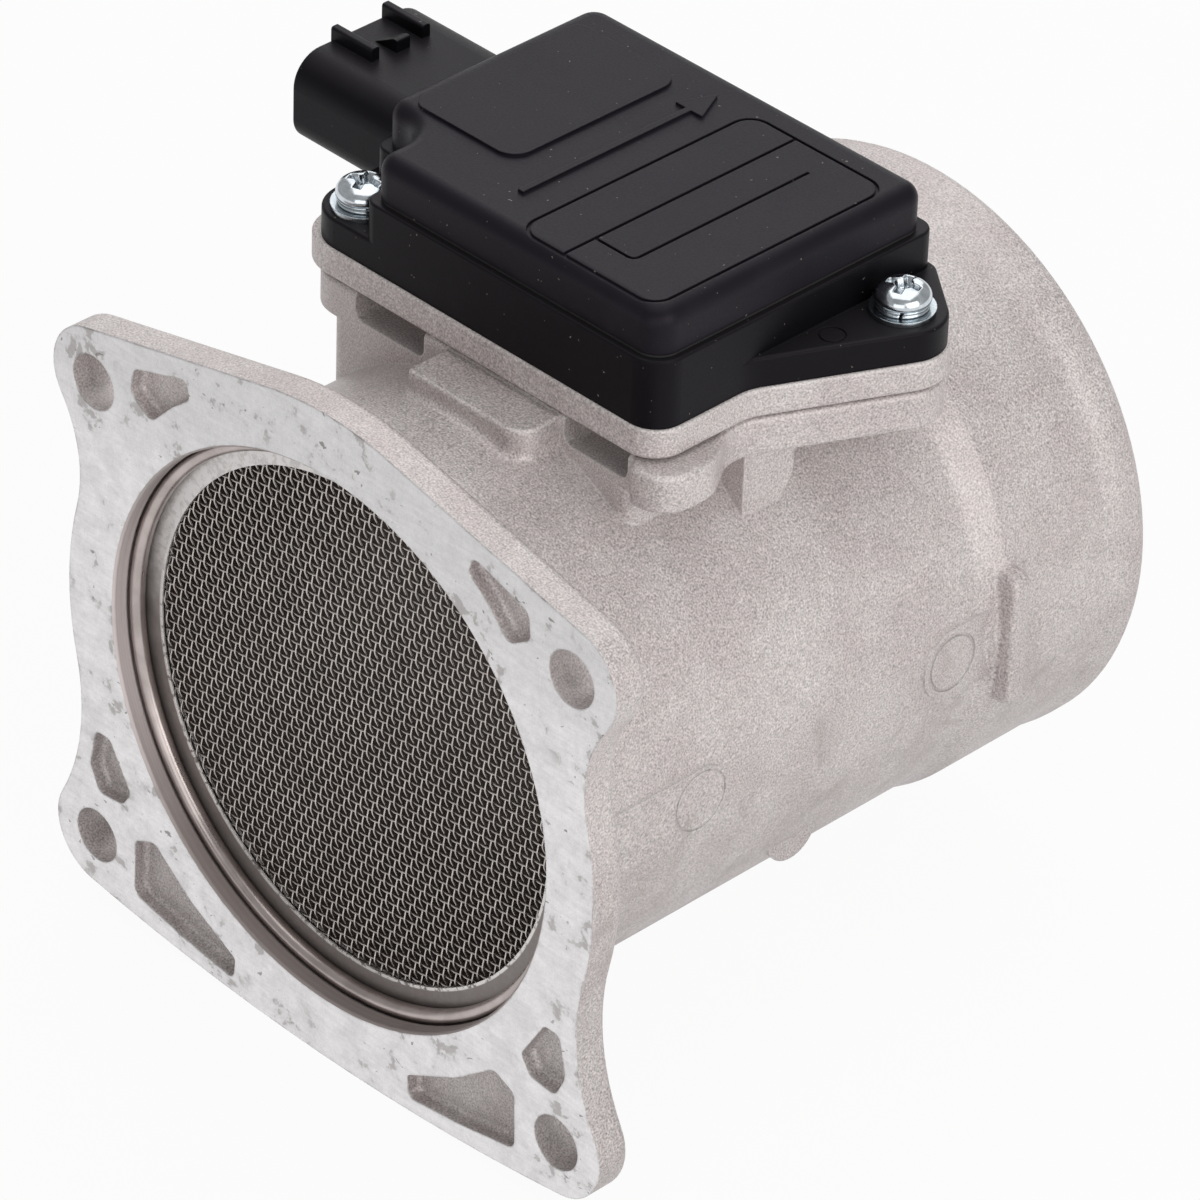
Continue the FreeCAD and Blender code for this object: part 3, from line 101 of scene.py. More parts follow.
# %% [markdown]
# ## Sums on sockets
# A material is a graph of nodes. It could be written node by node and link by link, but that reads slowly,
# and a sum is quick to read. `Socket` wraps one output, and Python's own operators add the Math node that
# does the same, so `1 - mask * 0.4` is both a line of code and two nodes. The forms with an r in front are
# for sums that start with a plain number.
# %% Socket
class Socket:
    """One output of a node, ready to take part in a sum."""

    def __init__(self, recipe, output):
        self.recipe, self.output = recipe, output

    def sum(self, operation, first, second):
        return self.recipe.add("ShaderNodeMath", {"operation": operation}, {0: first, 1: second})

    def __add__(self, other):
        return self.sum("ADD", self, other)

    def __radd__(self, other):
        return self.sum("ADD", other, self)

    def __sub__(self, other):
        return self.sum("SUBTRACT", self, other)

    def __rsub__(self, other):
        return self.sum("SUBTRACT", other, self)

    def __mul__(self, other):
        return self.sum("MULTIPLY", self, other)

    def __rmul__(self, other):
        return self.sum("MULTIPLY", other, self)

    def most(self, other):
        return self.sum("MAXIMUM", self, other)

    def root(self):
        return self.sum("POWER", self, 0.5)


# %% [markdown]
# ## One recipe for each material
# `Recipe` is one material, or the world. Its `add` makes any node: type, settings, then the values or links
# of its sockets. The other methods are the few things that every material here is made of: the place on the
# object, noise with a grain in millimetres, a soft step, a mix of two colours, a bump, and edges that look
# rounded. Noise could be stored in pictures, but made on the spot it has no seams and keeps its real size.
# %% Recipe
class Recipe:
    """A material, or the world, and the nodes in it."""

    def __init__(self, name, store=bpy.data.materials):
        self.owner = store.new(name)
        self.owner.use_nodes = True
        self.tree = self.owner.node_tree
        self.tree.nodes.clear()
        self.place = self.parts = None

    def add(self, kind, settings, sockets, out=0):
        node = self.tree.nodes.new(kind)
        for key, value in settings.items():
            setattr(node, key, value)
        for key, value in sockets.items():
            if isinstance(value, Socket):
                self.tree.links.new(value.output, node.inputs[key])
            elif value is not None:
                node.inputs[key].default_value = value
        return Socket(self, node.outputs[out])

    def where(self):
        """The place on the object, in metres."""
        if self.place is None:
            self.place = self.add("ShaderNodeTexCoord", {}, {}, out="Object")
        return self.place

    def measure(self):
        """In millimetres: y along the duct, z above the origin, and the radius from the duct's axis."""
        if self.parts is None:
            x, y, z = (self.add("ShaderNodeSeparateXYZ", {}, {0: self.where()}, out=i) * 1000.0
                       for i in range(3))
            above_axis = z - AXIS_Z
            self.parts = SimpleNamespace(y=y, z=z, radius=(x * x + above_axis * above_axis).root())
        return self.parts

    def stretch(self, x, y, z):
        """The place with each axis scaled, so that noise on it is drawn out into streaks."""
        return self.add("ShaderNodeVectorMath", {"operation": "MULTIPLY"}, {0: self.where(), 1: (x, y, z)})

    def noise(self, grain_mm, detail=2.0, rough=0.5, swirl=0.0, place=None):
        return self.add("ShaderNodeTexNoise", {}, {
            "Vector": place or self.where(), "Scale": 1000.0 / grain_mm, "Detail": detail,
            "Roughness": rough, "Distortion": swirl})

    def step(self, value, low, high):
        """0 below low, 1 above high, smooth between; with low above high it falls instead."""
        return self.add("ShaderNodeMapRange", {"interpolation_type": "SMOOTHSTEP"},
                        {"Value": value, "From Min": low, "From Max": high})

    def mix(self, share, first, second, way="MIX"):
        first, second = (c if isinstance(c, Socket) else (*c, 1.0) for c in (first, second))
        return self.add("ShaderNodeMix", {"data_type": "RGBA", "blend_type": way},
                        {0: share, 6: first, 7: second}, out=2)

    def shade(self, colour, value):
        """A colour made lighter or darker by a number near 1."""
        grey = self.add("ShaderNodeCombineColor", {}, {0: value, 1: value, 2: value})
        return self.mix(1.0, colour, grey, "MULTIPLY")

    def bump(self, height, depth_mm, strength=1.0, under=None):
        return self.add("ShaderNodeBump", {}, {
            "Height": height, "Distance": depth_mm * MM, "Strength": strength, "Normal": under})

    def round_edges(self, radius_mm):
        """The surface's direction with its sharp edges rounded, which catches light as a worn edge does."""
        return self.add("ShaderNodeBevel", {"samples": 4}, {"Radius": radius_mm * MM})

    def aligned(self, direction):
        """1 where a direction is the surface's own, less where the two part."""
        own = self.add("ShaderNodeNewGeometry", {}, {}, out="Normal")
        return self.add("ShaderNodeVectorMath", {"operation": "DOT_PRODUCT"},
                        {0: direction, 1: own}, out="Value")

    def open_space(self, reach_mm):
        """1 in the open and less in corners, which is where shade gets painted."""
        return self.add("ShaderNodeAmbientOcclusion", {"samples": 4}, {"Distance": reach_mm * MM}, out="AO")

    def finish(self, colour, rough, metal=0.0, normal=None, **more):
        sockets = {"Base Color": colour if isinstance(colour, Socket) else (*colour, 1.0),
                   "Roughness": rough, "Metallic": metal, "Normal": normal}
        sockets.update({key.replace("_", " "): value for key, value in more.items()})
        return self.close(self.add("ShaderNodeBsdfPrincipled", {}, sockets))

    def close(self, shader, kind="ShaderNodeOutputMaterial"):
        node = self.tree.nodes.new(kind)
        self.tree.links.new(shader.output, node.inputs[0])
        return self.owner


def dress(material, *names):
    """Gives a node's mesh one material in all its slots."""
    for name in names:
        mesh = nodes[name].data
        if not mesh.materials:
            mesh.materials.append(material)
        for i in range(len(mesh.materials)):
            mesh.materials[i] = material
    print(material.name, "on", ", ".join(names))


# %% [markdown]
# ## The casting's skin
# The housing is one die casting. Its skin has a fine grain, like sand under paint, and a warm grey that
# wanders a little and is darkened towards the bottom with painted shade. Sharp edges are rubbed bright. They
# could be painted by hand, but there the rounded direction leaves the surface's own, so one minus their
# alignment is a mask of all the edges at once.
# %% Cast skin
SKIN_WARM, SKIN_PALE = (0.545, 0.494, 0.487), (0.580, 0.538, 0.530)
RUBBED = (0.72, 0.70, 0.69)
EDGE_R, SKIN_DEPTH, SKIN_METAL = 0.45, 0.075, 0.45
# Heights in mm where the painted shade on the skin begins and where it is full.
SHADE_NONE_Z, SHADE_FULL_Z = 14.0, -32.0


def cast_skin(r):
    """Colour, roughness and height of the skin, and the noises that the cut places share with it."""
    grain = r.noise(0.27, 0.0)
    pits = r.noise(0.9, 1.0, 0.6)
    cloud = r.noise(13.0, 2.0, 0.6, 0.4)
    # Painted shade: the skin gets up to 13% darker from z = 14 mm down to z = -32 mm.
    low_shade = r.step(r.measure().z, SHADE_NONE_Z, SHADE_FULL_Z) * 0.13
    tone = (grain - 0.5) * 1.14 + (pits - 0.5) * 0.16 + (cloud - 0.5) * 0.16 + 1.0 - low_shade
    colour = r.shade(r.mix(r.step(cloud, 0.35, 0.65), SKIN_WARM, SKIN_PALE), tone)
    edge = r.round_edges(EDGE_R)
    away = 1 - r.aligned(edge)
    colour = r.mix(r.step(away, 0.004, 0.05) * (0.25 + grain * 0.5), colour, RUBBED)
    return SimpleNamespace(grain=grain, pits=pits, cloud=cloud, edge=edge, away=away, colour=colour,
                           rough=0.52 + (grain - 0.5) * 0.5, height=grain * 0.6 + pits * 0.4)


print("skin: grain", SKIN_DEPTH, "mm deep, edges rubbed over", EDGE_R, "mm")
# %% [markdown]
# ## Places that were cut after casting
# The flange's face and the outlet's end were milled, the seat of the screen was turned, and so was the bore.
# They could be faces with a material of their own, but a mask on the place needs no faces and can be soft.
# Each mask is a product of steps on the place along the duct and on the distance from its axis. A cutter
# leaves marks too: long faint lines across a milled face, rings in a turned place.
# %% Masks of the cut places
DUCT_LEN, SEAT_R, BORE_R, OUTLET_R = 112.0, 41.7, 38.0, 39.3
SKIM_NEAR, SKIM_FAR = 0.04, 0.12
SEAT_OVER, SEAT_DEEP, OUTLET_OVER, WALL_FROM = 1.2, 6.2, 0.9, 6.0
SOFT = 0.1


def cut_places(r):
    """Masks of the milled faces, of the screen's seat and of the bore's wall, and the cutter's lines."""
    at = r.measure()
    face = 1 - r.step(at.y, SKIM_NEAR, SKIM_FAR)
    end = r.step(at.y, DUCT_LEN - SKIM_FAR, DUCT_LEN - SKIM_NEAR)
    seat_side = 1 - r.step(at.radius, SEAT_R + SEAT_OVER, SEAT_R + SEAT_OVER + SOFT)
    seat = seat_side * (1 - r.step(at.y, SEAT_DEEP, SEAT_DEEP + SOFT)) * r.step(at.y, 0.02, 0.05)
    wall_side = r.step(at.radius, BORE_R - 0.10, BORE_R - 0.04)
    wall_side = wall_side * (1 - r.step(at.radius, OUTLET_R + OUTLET_OVER, OUTLET_R + OUTLET_OVER + SOFT))
    wall = wall_side * r.step(at.y, WALL_FROM, WALL_FROM + SOFT)
    drag = r.noise(1.0, 1.0, 0.5, 0.0, r.stretch(0.16, 1.0, 1.5))
    rings = r.noise(1.0, 0.0, 0.4, 0.0, r.stretch(0.02, 3.2, 0.02))
    return SimpleNamespace(seat=seat, wall=wall, cut=face.most(end).most(seat).most(wall),
                           lines=rings + face * (drag - rings))


print("seat of radius", SEAT_R, "mm, bore", BORE_R, "mm, outlet", OUTLET_R, "mm, duct", DUCT_LEN, "mm long")
# %% [markdown]
# ## Colours of the cut places
# The milled face is a bright satin grey with cloudy patches, darker towards the top. It has blots with a soft
# rim, small dark nicks where something hit it, and dirt along its border. One noise could do them all, but
# then blots and nicks would look alike, so each has its own grain and a shared noise says where they gather.
# The seat is brown, darkest at the bottom of the duct and darker at the top than at its sides. The bore's
# wall is painted dark, as shade inside the duct.
# %% Colours of the cut places
FACE_PALE, FACE_DULL, FACE_TOP = (0.850, 0.832, 0.842), (0.750, 0.732, 0.738), (0.600, 0.590, 0.590)
BLOT, NICK = (0.360, 0.335, 0.322), (0.21, 0.195, 0.185)
SEAT_LOW, SEAT_SIDE, SEAT_HIGH = (0.315, 0.270, 0.260), (0.690, 0.613, 0.604), (0.430, 0.385, 0.375)
# The bore's wall colour is painted shade: little light gets into the duct.
WALL_SHADE = (0.150, 0.125, 0.115)


def face_colour(r, skin, lines):
    """The milled face, and the mask of its blots."""
    patches = r.noise(15.0, 1.0, 0.5, 0.2)
    mottle = r.noise(4.4, 4.0, 0.64, 0.2)
    blot = r.step(mottle, 0.570, 0.630) * r.step(patches, 0.41, 0.53)
    hits = r.noise(1.5, 2.0, 0.6, 0.5, r.stretch(0.8, 1.0, 1.1))
    nick = r.step(hits, 0.675, 0.71) * r.step(patches, 0.38, 0.54)
    border = r.step(skin.away, 0.01, 0.10) * r.step(mottle, 0.46, 0.60)
    colour = r.mix(r.step(mottle, 0.36, 0.62), FACE_PALE, FACE_DULL)
    colour = r.mix(r.step(r.measure().z, 22.0, 44.0) * 0.55, colour, FACE_TOP)
    tone = 1.0 + (lines - 0.5) * 0.22 + (skin.pits - 0.5) * 0.18 + (skin.grain - 0.5) * 0.16
    colour = r.mix(blot * 0.50, r.shade(colour, tone), BLOT)
    return r.mix((nick * 0.8).most(border * 0.55), colour, NICK), blot


def seat_colour(r, skin, lines, wall):
    """The brown seat of the screen, darker low and high, and the bore's wall behind it in painted shade."""
    colour = r.mix(r.step(r.measure().z, -34.0, -4.0), SEAT_LOW, SEAT_SIDE)
    colour = r.mix(r.step(r.measure().z, 4.0, 30.0), colour, SEAT_HIGH)
    colour = r.shade(colour, 0.80 + lines * 0.30 + skin.cloud * 0.10)
    # Painted shade on the bore's wall.
    return r.mix(wall, colour, WALL_SHADE)


print("cut places: face", FACE_PALE, "seat", SEAT_SIDE, "wall", WALL_SHADE)
# %% [markdown]
# ## Cast aluminium
# Skin and cut places come together in one material for the whole casting, so the borders sit exactly where
# the cutter stopped. The mould's release agent has left darker smears low on the duct. The base plate of the
# module is cast too, but nothing on it that shows was cut, so it takes the skin alone.
# %% Cast aluminium, with and without cut places
SMEAR = (0.30, 0.262, 0.245)


def cut_casting(name):
    r = Recipe(name)
    skin, places = cast_skin(r), cut_places(r)
    cut, seat = places.cut, places.seat
    smear = r.step(r.noise(9.0, 3.0, 0.65, 0.6), 0.53, 0.72) * r.step(r.measure().z, 22.0, -8.0)
    smeared = r.mix(smear * 0.42, skin.colour, SMEAR)
    bright, blot = face_colour(r, skin, places.lines)
    brown = seat_colour(r, skin, places.lines, places.wall)
    colour = r.mix(cut, smeared, r.mix(seat.most(places.wall), bright, brown))
    rough = skin.rough * (1 - cut) + cut * (0.38 + blot * 0.2 + places.lines * 0.10)
    metal = SKIN_METAL + (cut - seat) * 0.30 - seat * 0.22
    return r.finish(colour, rough, metal, r.bump(skin.height * (1 - cut * 0.85), SKIN_DEPTH, 1.0, skin.edge))


def plain_casting(name):
    r = Recipe(name)
    skin = cast_skin(r)
    return r.finish(skin.colour, skin.rough, SKIN_METAL, r.bump(skin.height, SKIN_DEPTH, 1.0, skin.edge))


dress(cut_casting("cast_aluminium"), "housing")
dress(plain_casting("plate_aluminium"), "base_plate")
# %% [markdown]
# ## Black mouldings
# Case and lid are glass filled plastic: nearly black, with a spark eroded grain, so the sheen is broad and
# soft. A plain black would look cut out, a lighter one like paint. So the base stays near black, and what
# lifts it is thin: a tint of the mirrored light that leans to violet, a rougher haze from rubbing, a painted
# sheen on what faces up on the case, and a few pale specks.
# %% Moulded plastic
# The first colour is a painted sheen for surfaces that face up; the second is pale dust specks.
UP_SHEEN, DUST_SPECK = (0.0150, 0.0138, 0.0155), (0.20, 0.18, 0.15)
SHEEN_TINT = (0.97, 0.87, 1.0, 1.0)
MOULD_EDGE_R = 0.25


def moulded(name, colour, rough, grain_mm, grain_depth, dust, shine, up_sheen=0.0):
    r = Recipe(name)
    grain = r.noise(grain_mm, 1.0, 0.5)
    flow = r.noise(16.0, 3.0, 0.6, 0.8)
    rub = r.noise(1.0, 3.0, 0.6, 0.0, r.stretch(0.35, 0.05, 0.35))
    haze = r.step(flow, 0.40, 0.75) * dust + r.step(rub, 0.58, 0.72) * dust * 0.5
    black = r.mix(haze, colour, tuple(c * 1.6 + 0.004 for c in colour))
    # Painted sheen: what faces up is mixed towards a lighter black, used on the case only.
    facing_up = r.step(r.aligned((0.0, 0.0, 1.0)), 0.55, 0.95)
    black = r.mix(facing_up * up_sheen, black, UP_SHEEN)
    speck = r.step(r.noise(0.9, 2.0, 0.6), 0.735, 0.755)
    black = r.mix(speck * 0.8, black, DUST_SPECK)
    height = grain + r.noise(4.0, 2.0, 0.5) * 0.6
    return r.finish(black, rough + haze * 0.12 + (grain - 0.5) * 0.2, 0.0,
                    r.bump(height, grain_depth, 0.6, r.round_edges(MOULD_EDGE_R)),
                    Specular_IOR_Level=shine, Specular_Tint=SHEEN_TINT)


dress(moulded("case_plastic", (0.0026, 0.0024, 0.0032), 0.42, 0.30, 0.018, 0.25, 0.13, 0.8), "case")
dress(moulded("lid_plastic", (0.0056, 0.0046, 0.0074), 0.46, 0.30, 0.020, 0.35, 0.18), "lid")
dress(moulded("holder_plastic", (0.020, 0.019, 0.018), 0.45, 0.30, 0.010, 0.2, 0.4), "element_holder")
dress(moulded("chip_plastic", (0.016, 0.016, 0.016), 0.50, 0.15, 0.010, 0.3, 0.4),
      "control_chip", "power_transistor")
# %% [markdown]
# ## Rubber, sealant and gasket
# Soft black parts show as thin dark lines. They could share the plastic, but rubber reflects almost nothing,
# so a high roughness and a faint mottle do.
# %% Soft black parts
def soft_black(name, tone):
    r = Recipe(name)
    mottle = r.noise(0.8, 3.0, 0.6)
    colour = r.mix(mottle, (tone, tone, tone), (tone * 2.2, tone * 2.1, tone * 2.0))
    return r.finish(colour, 0.75 + mottle * 0.15, 0.0, r.bump(mottle, 0.02, 0.5))


dress(soft_black("gasket_rubber", 0.010), "base_gasket")
dress(soft_black("sealant", 0.012), "lid_sealant")
dress(soft_black("seal_rubber", 0.012), "holder_seal")
# %% [markdown]
# ## Steel and plated steel
# Zinc plating is bright and slightly blue, with cloudy patches. Tin on the contacts is softer and warmer.
# One colour alone would look like chrome, so each is a cloudy tint with a fine grain, with painted shade in
# its corners.
# %% Metals
WORN_EDGE_R = 0.15


def steel(name, colour, rough, cloud_mm, cloudy, depth=0.008):
    r = Recipe(name)
    cloud = r.noise(cloud_mm, 4.0, 0.6, 0.5)
    tint = r.mix(r.step(cloud, 0.3, 0.7), tuple(c * (1 - cloudy) for c in colour), colour)
    # Painted shade: the tint darkens in corners and crevices, found by ambient occlusion.
    corner = 1 - r.step(r.open_space(1.5), 0.25, 0.9)
    tint = r.mix(corner * 0.6, tint, tuple(c * 0.25 for c in colour))
    normal = r.bump(r.noise(0.25, 2.0, 0.5), depth, 0.5, r.round_edges(WORN_EDGE_R))
    return r.finish(tint, rough + (cloud - 0.5) * 0.18, 1.0, normal)


dress(steel("ring_steel", (0.54, 0.475, 0.455), 0.30, 6.0, 0.25), "retaining_ring")
zinc_screw = steel("zinc_screw", (0.70, 0.755, 0.80), 0.17, 1.6, 0.22)
dress(zinc_screw, "case_screws")
zinc_washer = steel("zinc_washer", (0.64, 0.705, 0.75), 0.20, 1.6, 0.24)
dress(zinc_washer, "flat_washers", "spring_washers")
contacts = ["terminal_%d" % n for n in range(1, 5)]
dress(steel("contact_metal", (0.78, 0.75, 0.69), 0.26, 1.2, 0.15), *contacts)
pins = ["support_pin_%d" % n for n in range(1, 5)]
dress(steel("pin_steel", (0.62, 0.61, 0.59), 0.24, 1.0, 0.15), *pins)
# %% [markdown]
# ## The screen's frame
# The frame is pressed sheet: dull grey above and dark brown below, with a painted highlight in spots along
# the inner edge of its rim, low down. A second metal could be laid on the rim, but a mask from the distance
# to the axis is enough, because the rim is a circle.
# %% Frame of the screen
FRAME_LOW, FRAME_HIGH = (0.235, 0.205, 0.195), (0.74, 0.718, 0.710)
# The second colour is a painted highlight for the inner edge of the rim.
FRAME_SPECK, FRAME_RIM_HIGHLIGHT = (0.28, 0.265, 0.250), (0.86, 0.84, 0.82)
RIM_IN_R = 37.35


def frame_steel(name):
    r = Recipe(name)
    at = r.measure()
    speckle = r.noise(0.9, 3.0, 0.65)
    cloud = r.noise(5.0, 2.0, 0.6)
    tone = r.mix(r.step(at.z + (cloud - 0.5) * 24.0, -6.0, 22.0), FRAME_LOW, FRAME_HIGH)
    tone = r.mix(r.step(speckle, 0.45, 0.62) * 0.35, tone, FRAME_SPECK)
    # Painted highlight: spots along the rim's inner edge, low down, are made lighter and smoother.
    rim_highlight = r.step(at.radius, RIM_IN_R + 0.55, RIM_IN_R + 0.35)
    rim_highlight = rim_highlight * r.step(speckle, 0.36, 0.50) * r.step(at.z, 24.0, 4.0)
    tone = r.mix(rim_highlight * 0.85, tone, FRAME_RIM_HIGHLIGHT)
    return r.finish(tone, 0.42 - rim_highlight * 0.12, 0.6, r.bump(speckle, 0.03, 0.5, r.round_edges(WORN_EDGE_R)))


dress(frame_steel("frame_steel"), "screen_frame")
# %% [markdown]
# ## Meshes from rows of points
# Screws, spring washers and wires could come from modifiers, each with its own set-up. Here all are made
# in one way that fits in a few lines: rows of points with the same number in each, quads between
# neighbouring rows, and a cap on the first and on the last. For a screw the rows are rings from the bottom
# up, for a washer cross sections around the axis, for a wire rings along it.
# %% Rows into a mesh
def join_rows(points, faces, rows, turned=False):
    """Adds the quads and caps of some rows; turned makes them face the other way."""
    first, n = len(points), len(rows[0])
    way = -1 if turned else 1
    for row in rows:
        points.extend(row)
    for k in range(len(rows) - 1):
        for j in range(n):
            a, b = first + k * n + j, first + k * n + (j + 1) % n
            faces.append((a, b, b + n, a + n)[::way])
    last = first + (len(rows) - 1) * n
    faces.append(tuple(range(first, first + n))[::-way])
    faces.append(tuple(range(last, last + n))[::way])


def mesh_piece(name, points, faces, material):
    mesh = bpy.data.meshes.new(name)
    mesh.from_pydata(points, [], faces)
    mesh.polygons.foreach_set("use_smooth", [True] * len(mesh.polygons))
    mesh.update()
    mesh.materials.append(material)
    piece = bpy.data.objects.new(name, mesh)
    bpy.context.scene.collection.objects.link(piece)
    print(name, "has", len(points), "points and", len(faces), "faces")
    return piece


# %% [markdown]
# ## Screw heads
# The two screws catch the eye, because they are the only bright things on black. A pan head is a dome that
# gets steeper towards its rim, and its cross recess has sloping walls and a cone in the middle. The recess
# could be cut with a boolean, but its edges would be sharp. Here each ring of the dome is lowered by the
# depth of the recess there, so the walls flow into the dome. The screw fills the height of its solid.
# %% Screws
SCREW_SPOTS = ((-30.6, 34.6, -25.0), (34.4, 69.6, -50.0))  # across, along, turn of the washer's split
HEAD_R, SHANK_R, HEAD_TALL = 3.8, 2.0, 2.5
DOME_TALL, DOME_POWER, RIM_TALL = 1.9, 2.6, 0.6
CHAMFER, HEAD_ROUND = 0.5, 0.2
CROSS_TURN = math.radians(20.0)
CROSS_DEEP, CROSS_REACH, CROSS_HALF, CONE_R = 1.5, 2.35, 0.62, 1.30
WALL_SLOPE, END_SLOPE, CONE_SLOPE = 3.4, 2.0, 2.4
AROUND = 96


def recess_depth(x, y):
    """How deep the cross recess is at a place on the head."""
    u = x * math.cos(CROSS_TURN) + y * math.sin(CROSS_TURN)
    v = y * math.cos(CROSS_TURN) - x * math.sin(CROSS_TURN)

    def wing(along, across):
        wall, end = (CROSS_HALF - abs(across)) * WALL_SLOPE, (CROSS_REACH - abs(along)) * END_SLOPE
        return min(wall, end, CROSS_DEEP)

    cone = min((CONE_R - math.hypot(u, v)) * CONE_SLOPE, CROSS_DEEP)
    return max(wing(u, v), wing(v, u), cone, 0.0)


def screw_rows(x, y, low, top):
    """Rings of one screw: shank, underside and rim from an outline, then the dome."""
    under = top - HEAD_TALL
    outline = [(SHANK_R - CHAMFER, low), (SHANK_R, low + CHAMFER), (SHANK_R, under),
               (HEAD_R - HEAD_ROUND, under), (HEAD_R, under + HEAD_ROUND), (HEAD_R, under + RIM_TALL)]
    radii = [HEAD_R * math.sin(math.radians(a)) for a in np.linspace(86.0, 43.0, 10)]
    radii += list(np.linspace(2.5, 0.1, 21))
    outline += [(r, top + DOME_TALL * (math.sqrt(1 - (r / HEAD_R) ** DOME_POWER) - 1)) for r in radii]
    rows = []
    for r, z in outline:
        row = []
        for a in np.arange(AROUND) * 2 * math.pi / AROUND:
            px, py = r * math.cos(a), r * math.sin(a)
            sink = recess_depth(px, py) if z > under + RIM_TALL else 0.0
            row.append(((x + px) * MM, (y + py) * MM, (z - sink) * MM))
        rows.append(row)
    return rows


def solid_piece(name, row_sets, material, stands_for):
    """One mesh of several solids, tied to the part in place of a node."""
    points, faces = [], []
    for rows in row_sets:
        join_rows(points, faces, rows)
    piece = mesh_piece(name, points, faces, material)
    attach(piece, "root")
    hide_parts(stands_for)


screw_low, screw_top = (corner[2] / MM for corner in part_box("case_screws"))
screws = [screw_rows(x, y, screw_low, screw_top) for x, y, _ in SCREW_SPOTS]
solid_piece("pan_head_screws", screws, zinc_screw, "case_screws")
# %% [markdown]
# ## Spring washers
# A spring washer here has two coils, seen as a groove round its middle, and a slanted split. A cut ring
# would need the groove and the slant made apart. Instead its cross section has the groove already and is
# walked round the axis from one side of the split to the other, turned a little more at the top than below.
# %% Spring washers
COIL = ((2.3, 1.0), (3.45, 1.0), (3.6, 0.90), (3.6, 0.60), (3.36, 0.53), (3.36, 0.47), (3.6, 0.40),
        (3.6, 0.10), (3.45, 0.0), (2.3, 0.0))  # distance from the axis, and height
SPLIT_HALF, SPLIT_LEAN, SECTIONS = 3.2, 0.09, 73


def washer_rows(x, y, low, split):
    """Cross sections of one washer; split is the angle of its gap."""
    rows = []
    for share in np.linspace(0.0, 1.0, SECTIONS):
        turn = math.radians(split + SPLIT_HALF + share * (360.0 - 2 * SPLIT_HALF))
        row = []
        for r, z in COIL:
            a = turn + (z - 0.5) * SPLIT_LEAN
            row.append(((x + r * math.cos(a)) * MM, (y + r * math.sin(a)) * MM, (low + z) * MM))
        rows.append(row)
    return rows


washer_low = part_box("spring_washers")[0][2] / MM
washers = [washer_rows(x, y, washer_low, split) for x, y, split in SCREW_SPOTS]
solid_piece("spring_coils", washers, zinc_washer, "spring_washers")
# %% [markdown]
# ## Ceramics
# The circuit board, its resistors and both measuring elements are fired ceramic. Only a look down the bore
# or an open lid shows them, so a plain white would pass, but they are real parts. They get a fired surface
# with fine specks under a thin clear coat.
# %% Ceramics
def fired(name, colour, speck, rough):
    r = Recipe(name)
    specks = r.step(r.noise(0.35, 2.0, 0.6), 0.60, 0.70)
    tone = r.mix(specks * 0.6, colour, speck)
    return r.finish(tone, rough, 0.0, r.bump(r.noise(0.6, 3.0, 0.5), 0.01, 0.4),
                    Coat_Weight=0.3, Coat_Roughness=0.1)


dress(fired("board_ceramic", (0.76, 0.76, 0.72), (0.55, 0.54, 0.50), 0.45), "circuit_board")
dress(fired("resistor_ceramic", (0.18, 0.15, 0.12), (0.08, 0.07, 0.06), 0.40),
      "ballast_resistor", "trim_resistor", "filter_capacitor")
dress(fired("element_glaze", (0.66, 0.65, 0.62), (0.50, 0.49, 0.47), 0.22),
      "hot_element", "air_temperature_element")
# %% [markdown]
# ## The woven screen
# The screen is plain weave: each wire goes over one cross wire and under the next. The upright wires stand
# closer together and carry nearly all of the bend, which is why they show as rows of small arcs, and the
# level wires run almost straight. The whole cloth sits a few degrees askew in its frame. One wire could be
# repeated by an array, but each has its own length, so a loop sweeps each as a tube along a wave, half a
# turn off from its neighbour's. Near the rim the wave flattens, because the frame clamps it. All the upright
# wires are one mesh and all the level ones another.
# %% Weave
UPRIGHT_PITCH, LEVEL_PITCH = 1.149, 1.503
WIRE_R = 0.130
UPRIGHT_BEND, LEVEL_BEND = 0.215, 0.085
SKEW = math.radians(7.7)
SCREEN_Y, WEAVE_R = 5.5, RIM_IN_R + 1.2
CLAMP_IN, CLAMP_OVER, CLAMP_LEAST = 0.4, 0.9, 0.55
SIDES, STEPS = 6, 4


def wire_rows(off, half, number, cross_pitch, bend, sign, upright_wires):
    """Rings along one wire. Each ring turns with the wave, so the tube stays round."""
    run = np.linspace(-half, half, int(2 * half / cross_pitch * STEPS) + 1)
    clamp = np.clip((WEAVE_R - CLAMP_IN - np.hypot(run, off)) / CLAMP_OVER, CLAMP_LEAST, 1.0)
    phase = math.pi * run / cross_pitch + math.pi * number
    depth = sign * bend * np.cos(phase) * clamp
    slope = -sign * bend * np.sin(phase) * clamp * math.pi / cross_pitch
    rows = []
    for t, d, a in zip(run, depth, np.arctan(slope)):
        row = []
        for b in np.arange(SIDES) * 2 * math.pi / SIDES:
            side, out = WIRE_R * math.cos(b), WIRE_R * math.sin(b)
            along, deep = t - out * math.sin(a), d + out * math.cos(a)
            u, v = (off + side, along) if upright_wires else (along, off + side)
            px = u * math.cos(SKEW) - v * math.sin(SKEW)
            pz = u * math.sin(SKEW) + v * math.cos(SKEW)
            row.append((px * MM, (SCREEN_Y + deep) * MM, (pz + AXIS_Z) * MM))
        rows.append(row)
    return rows


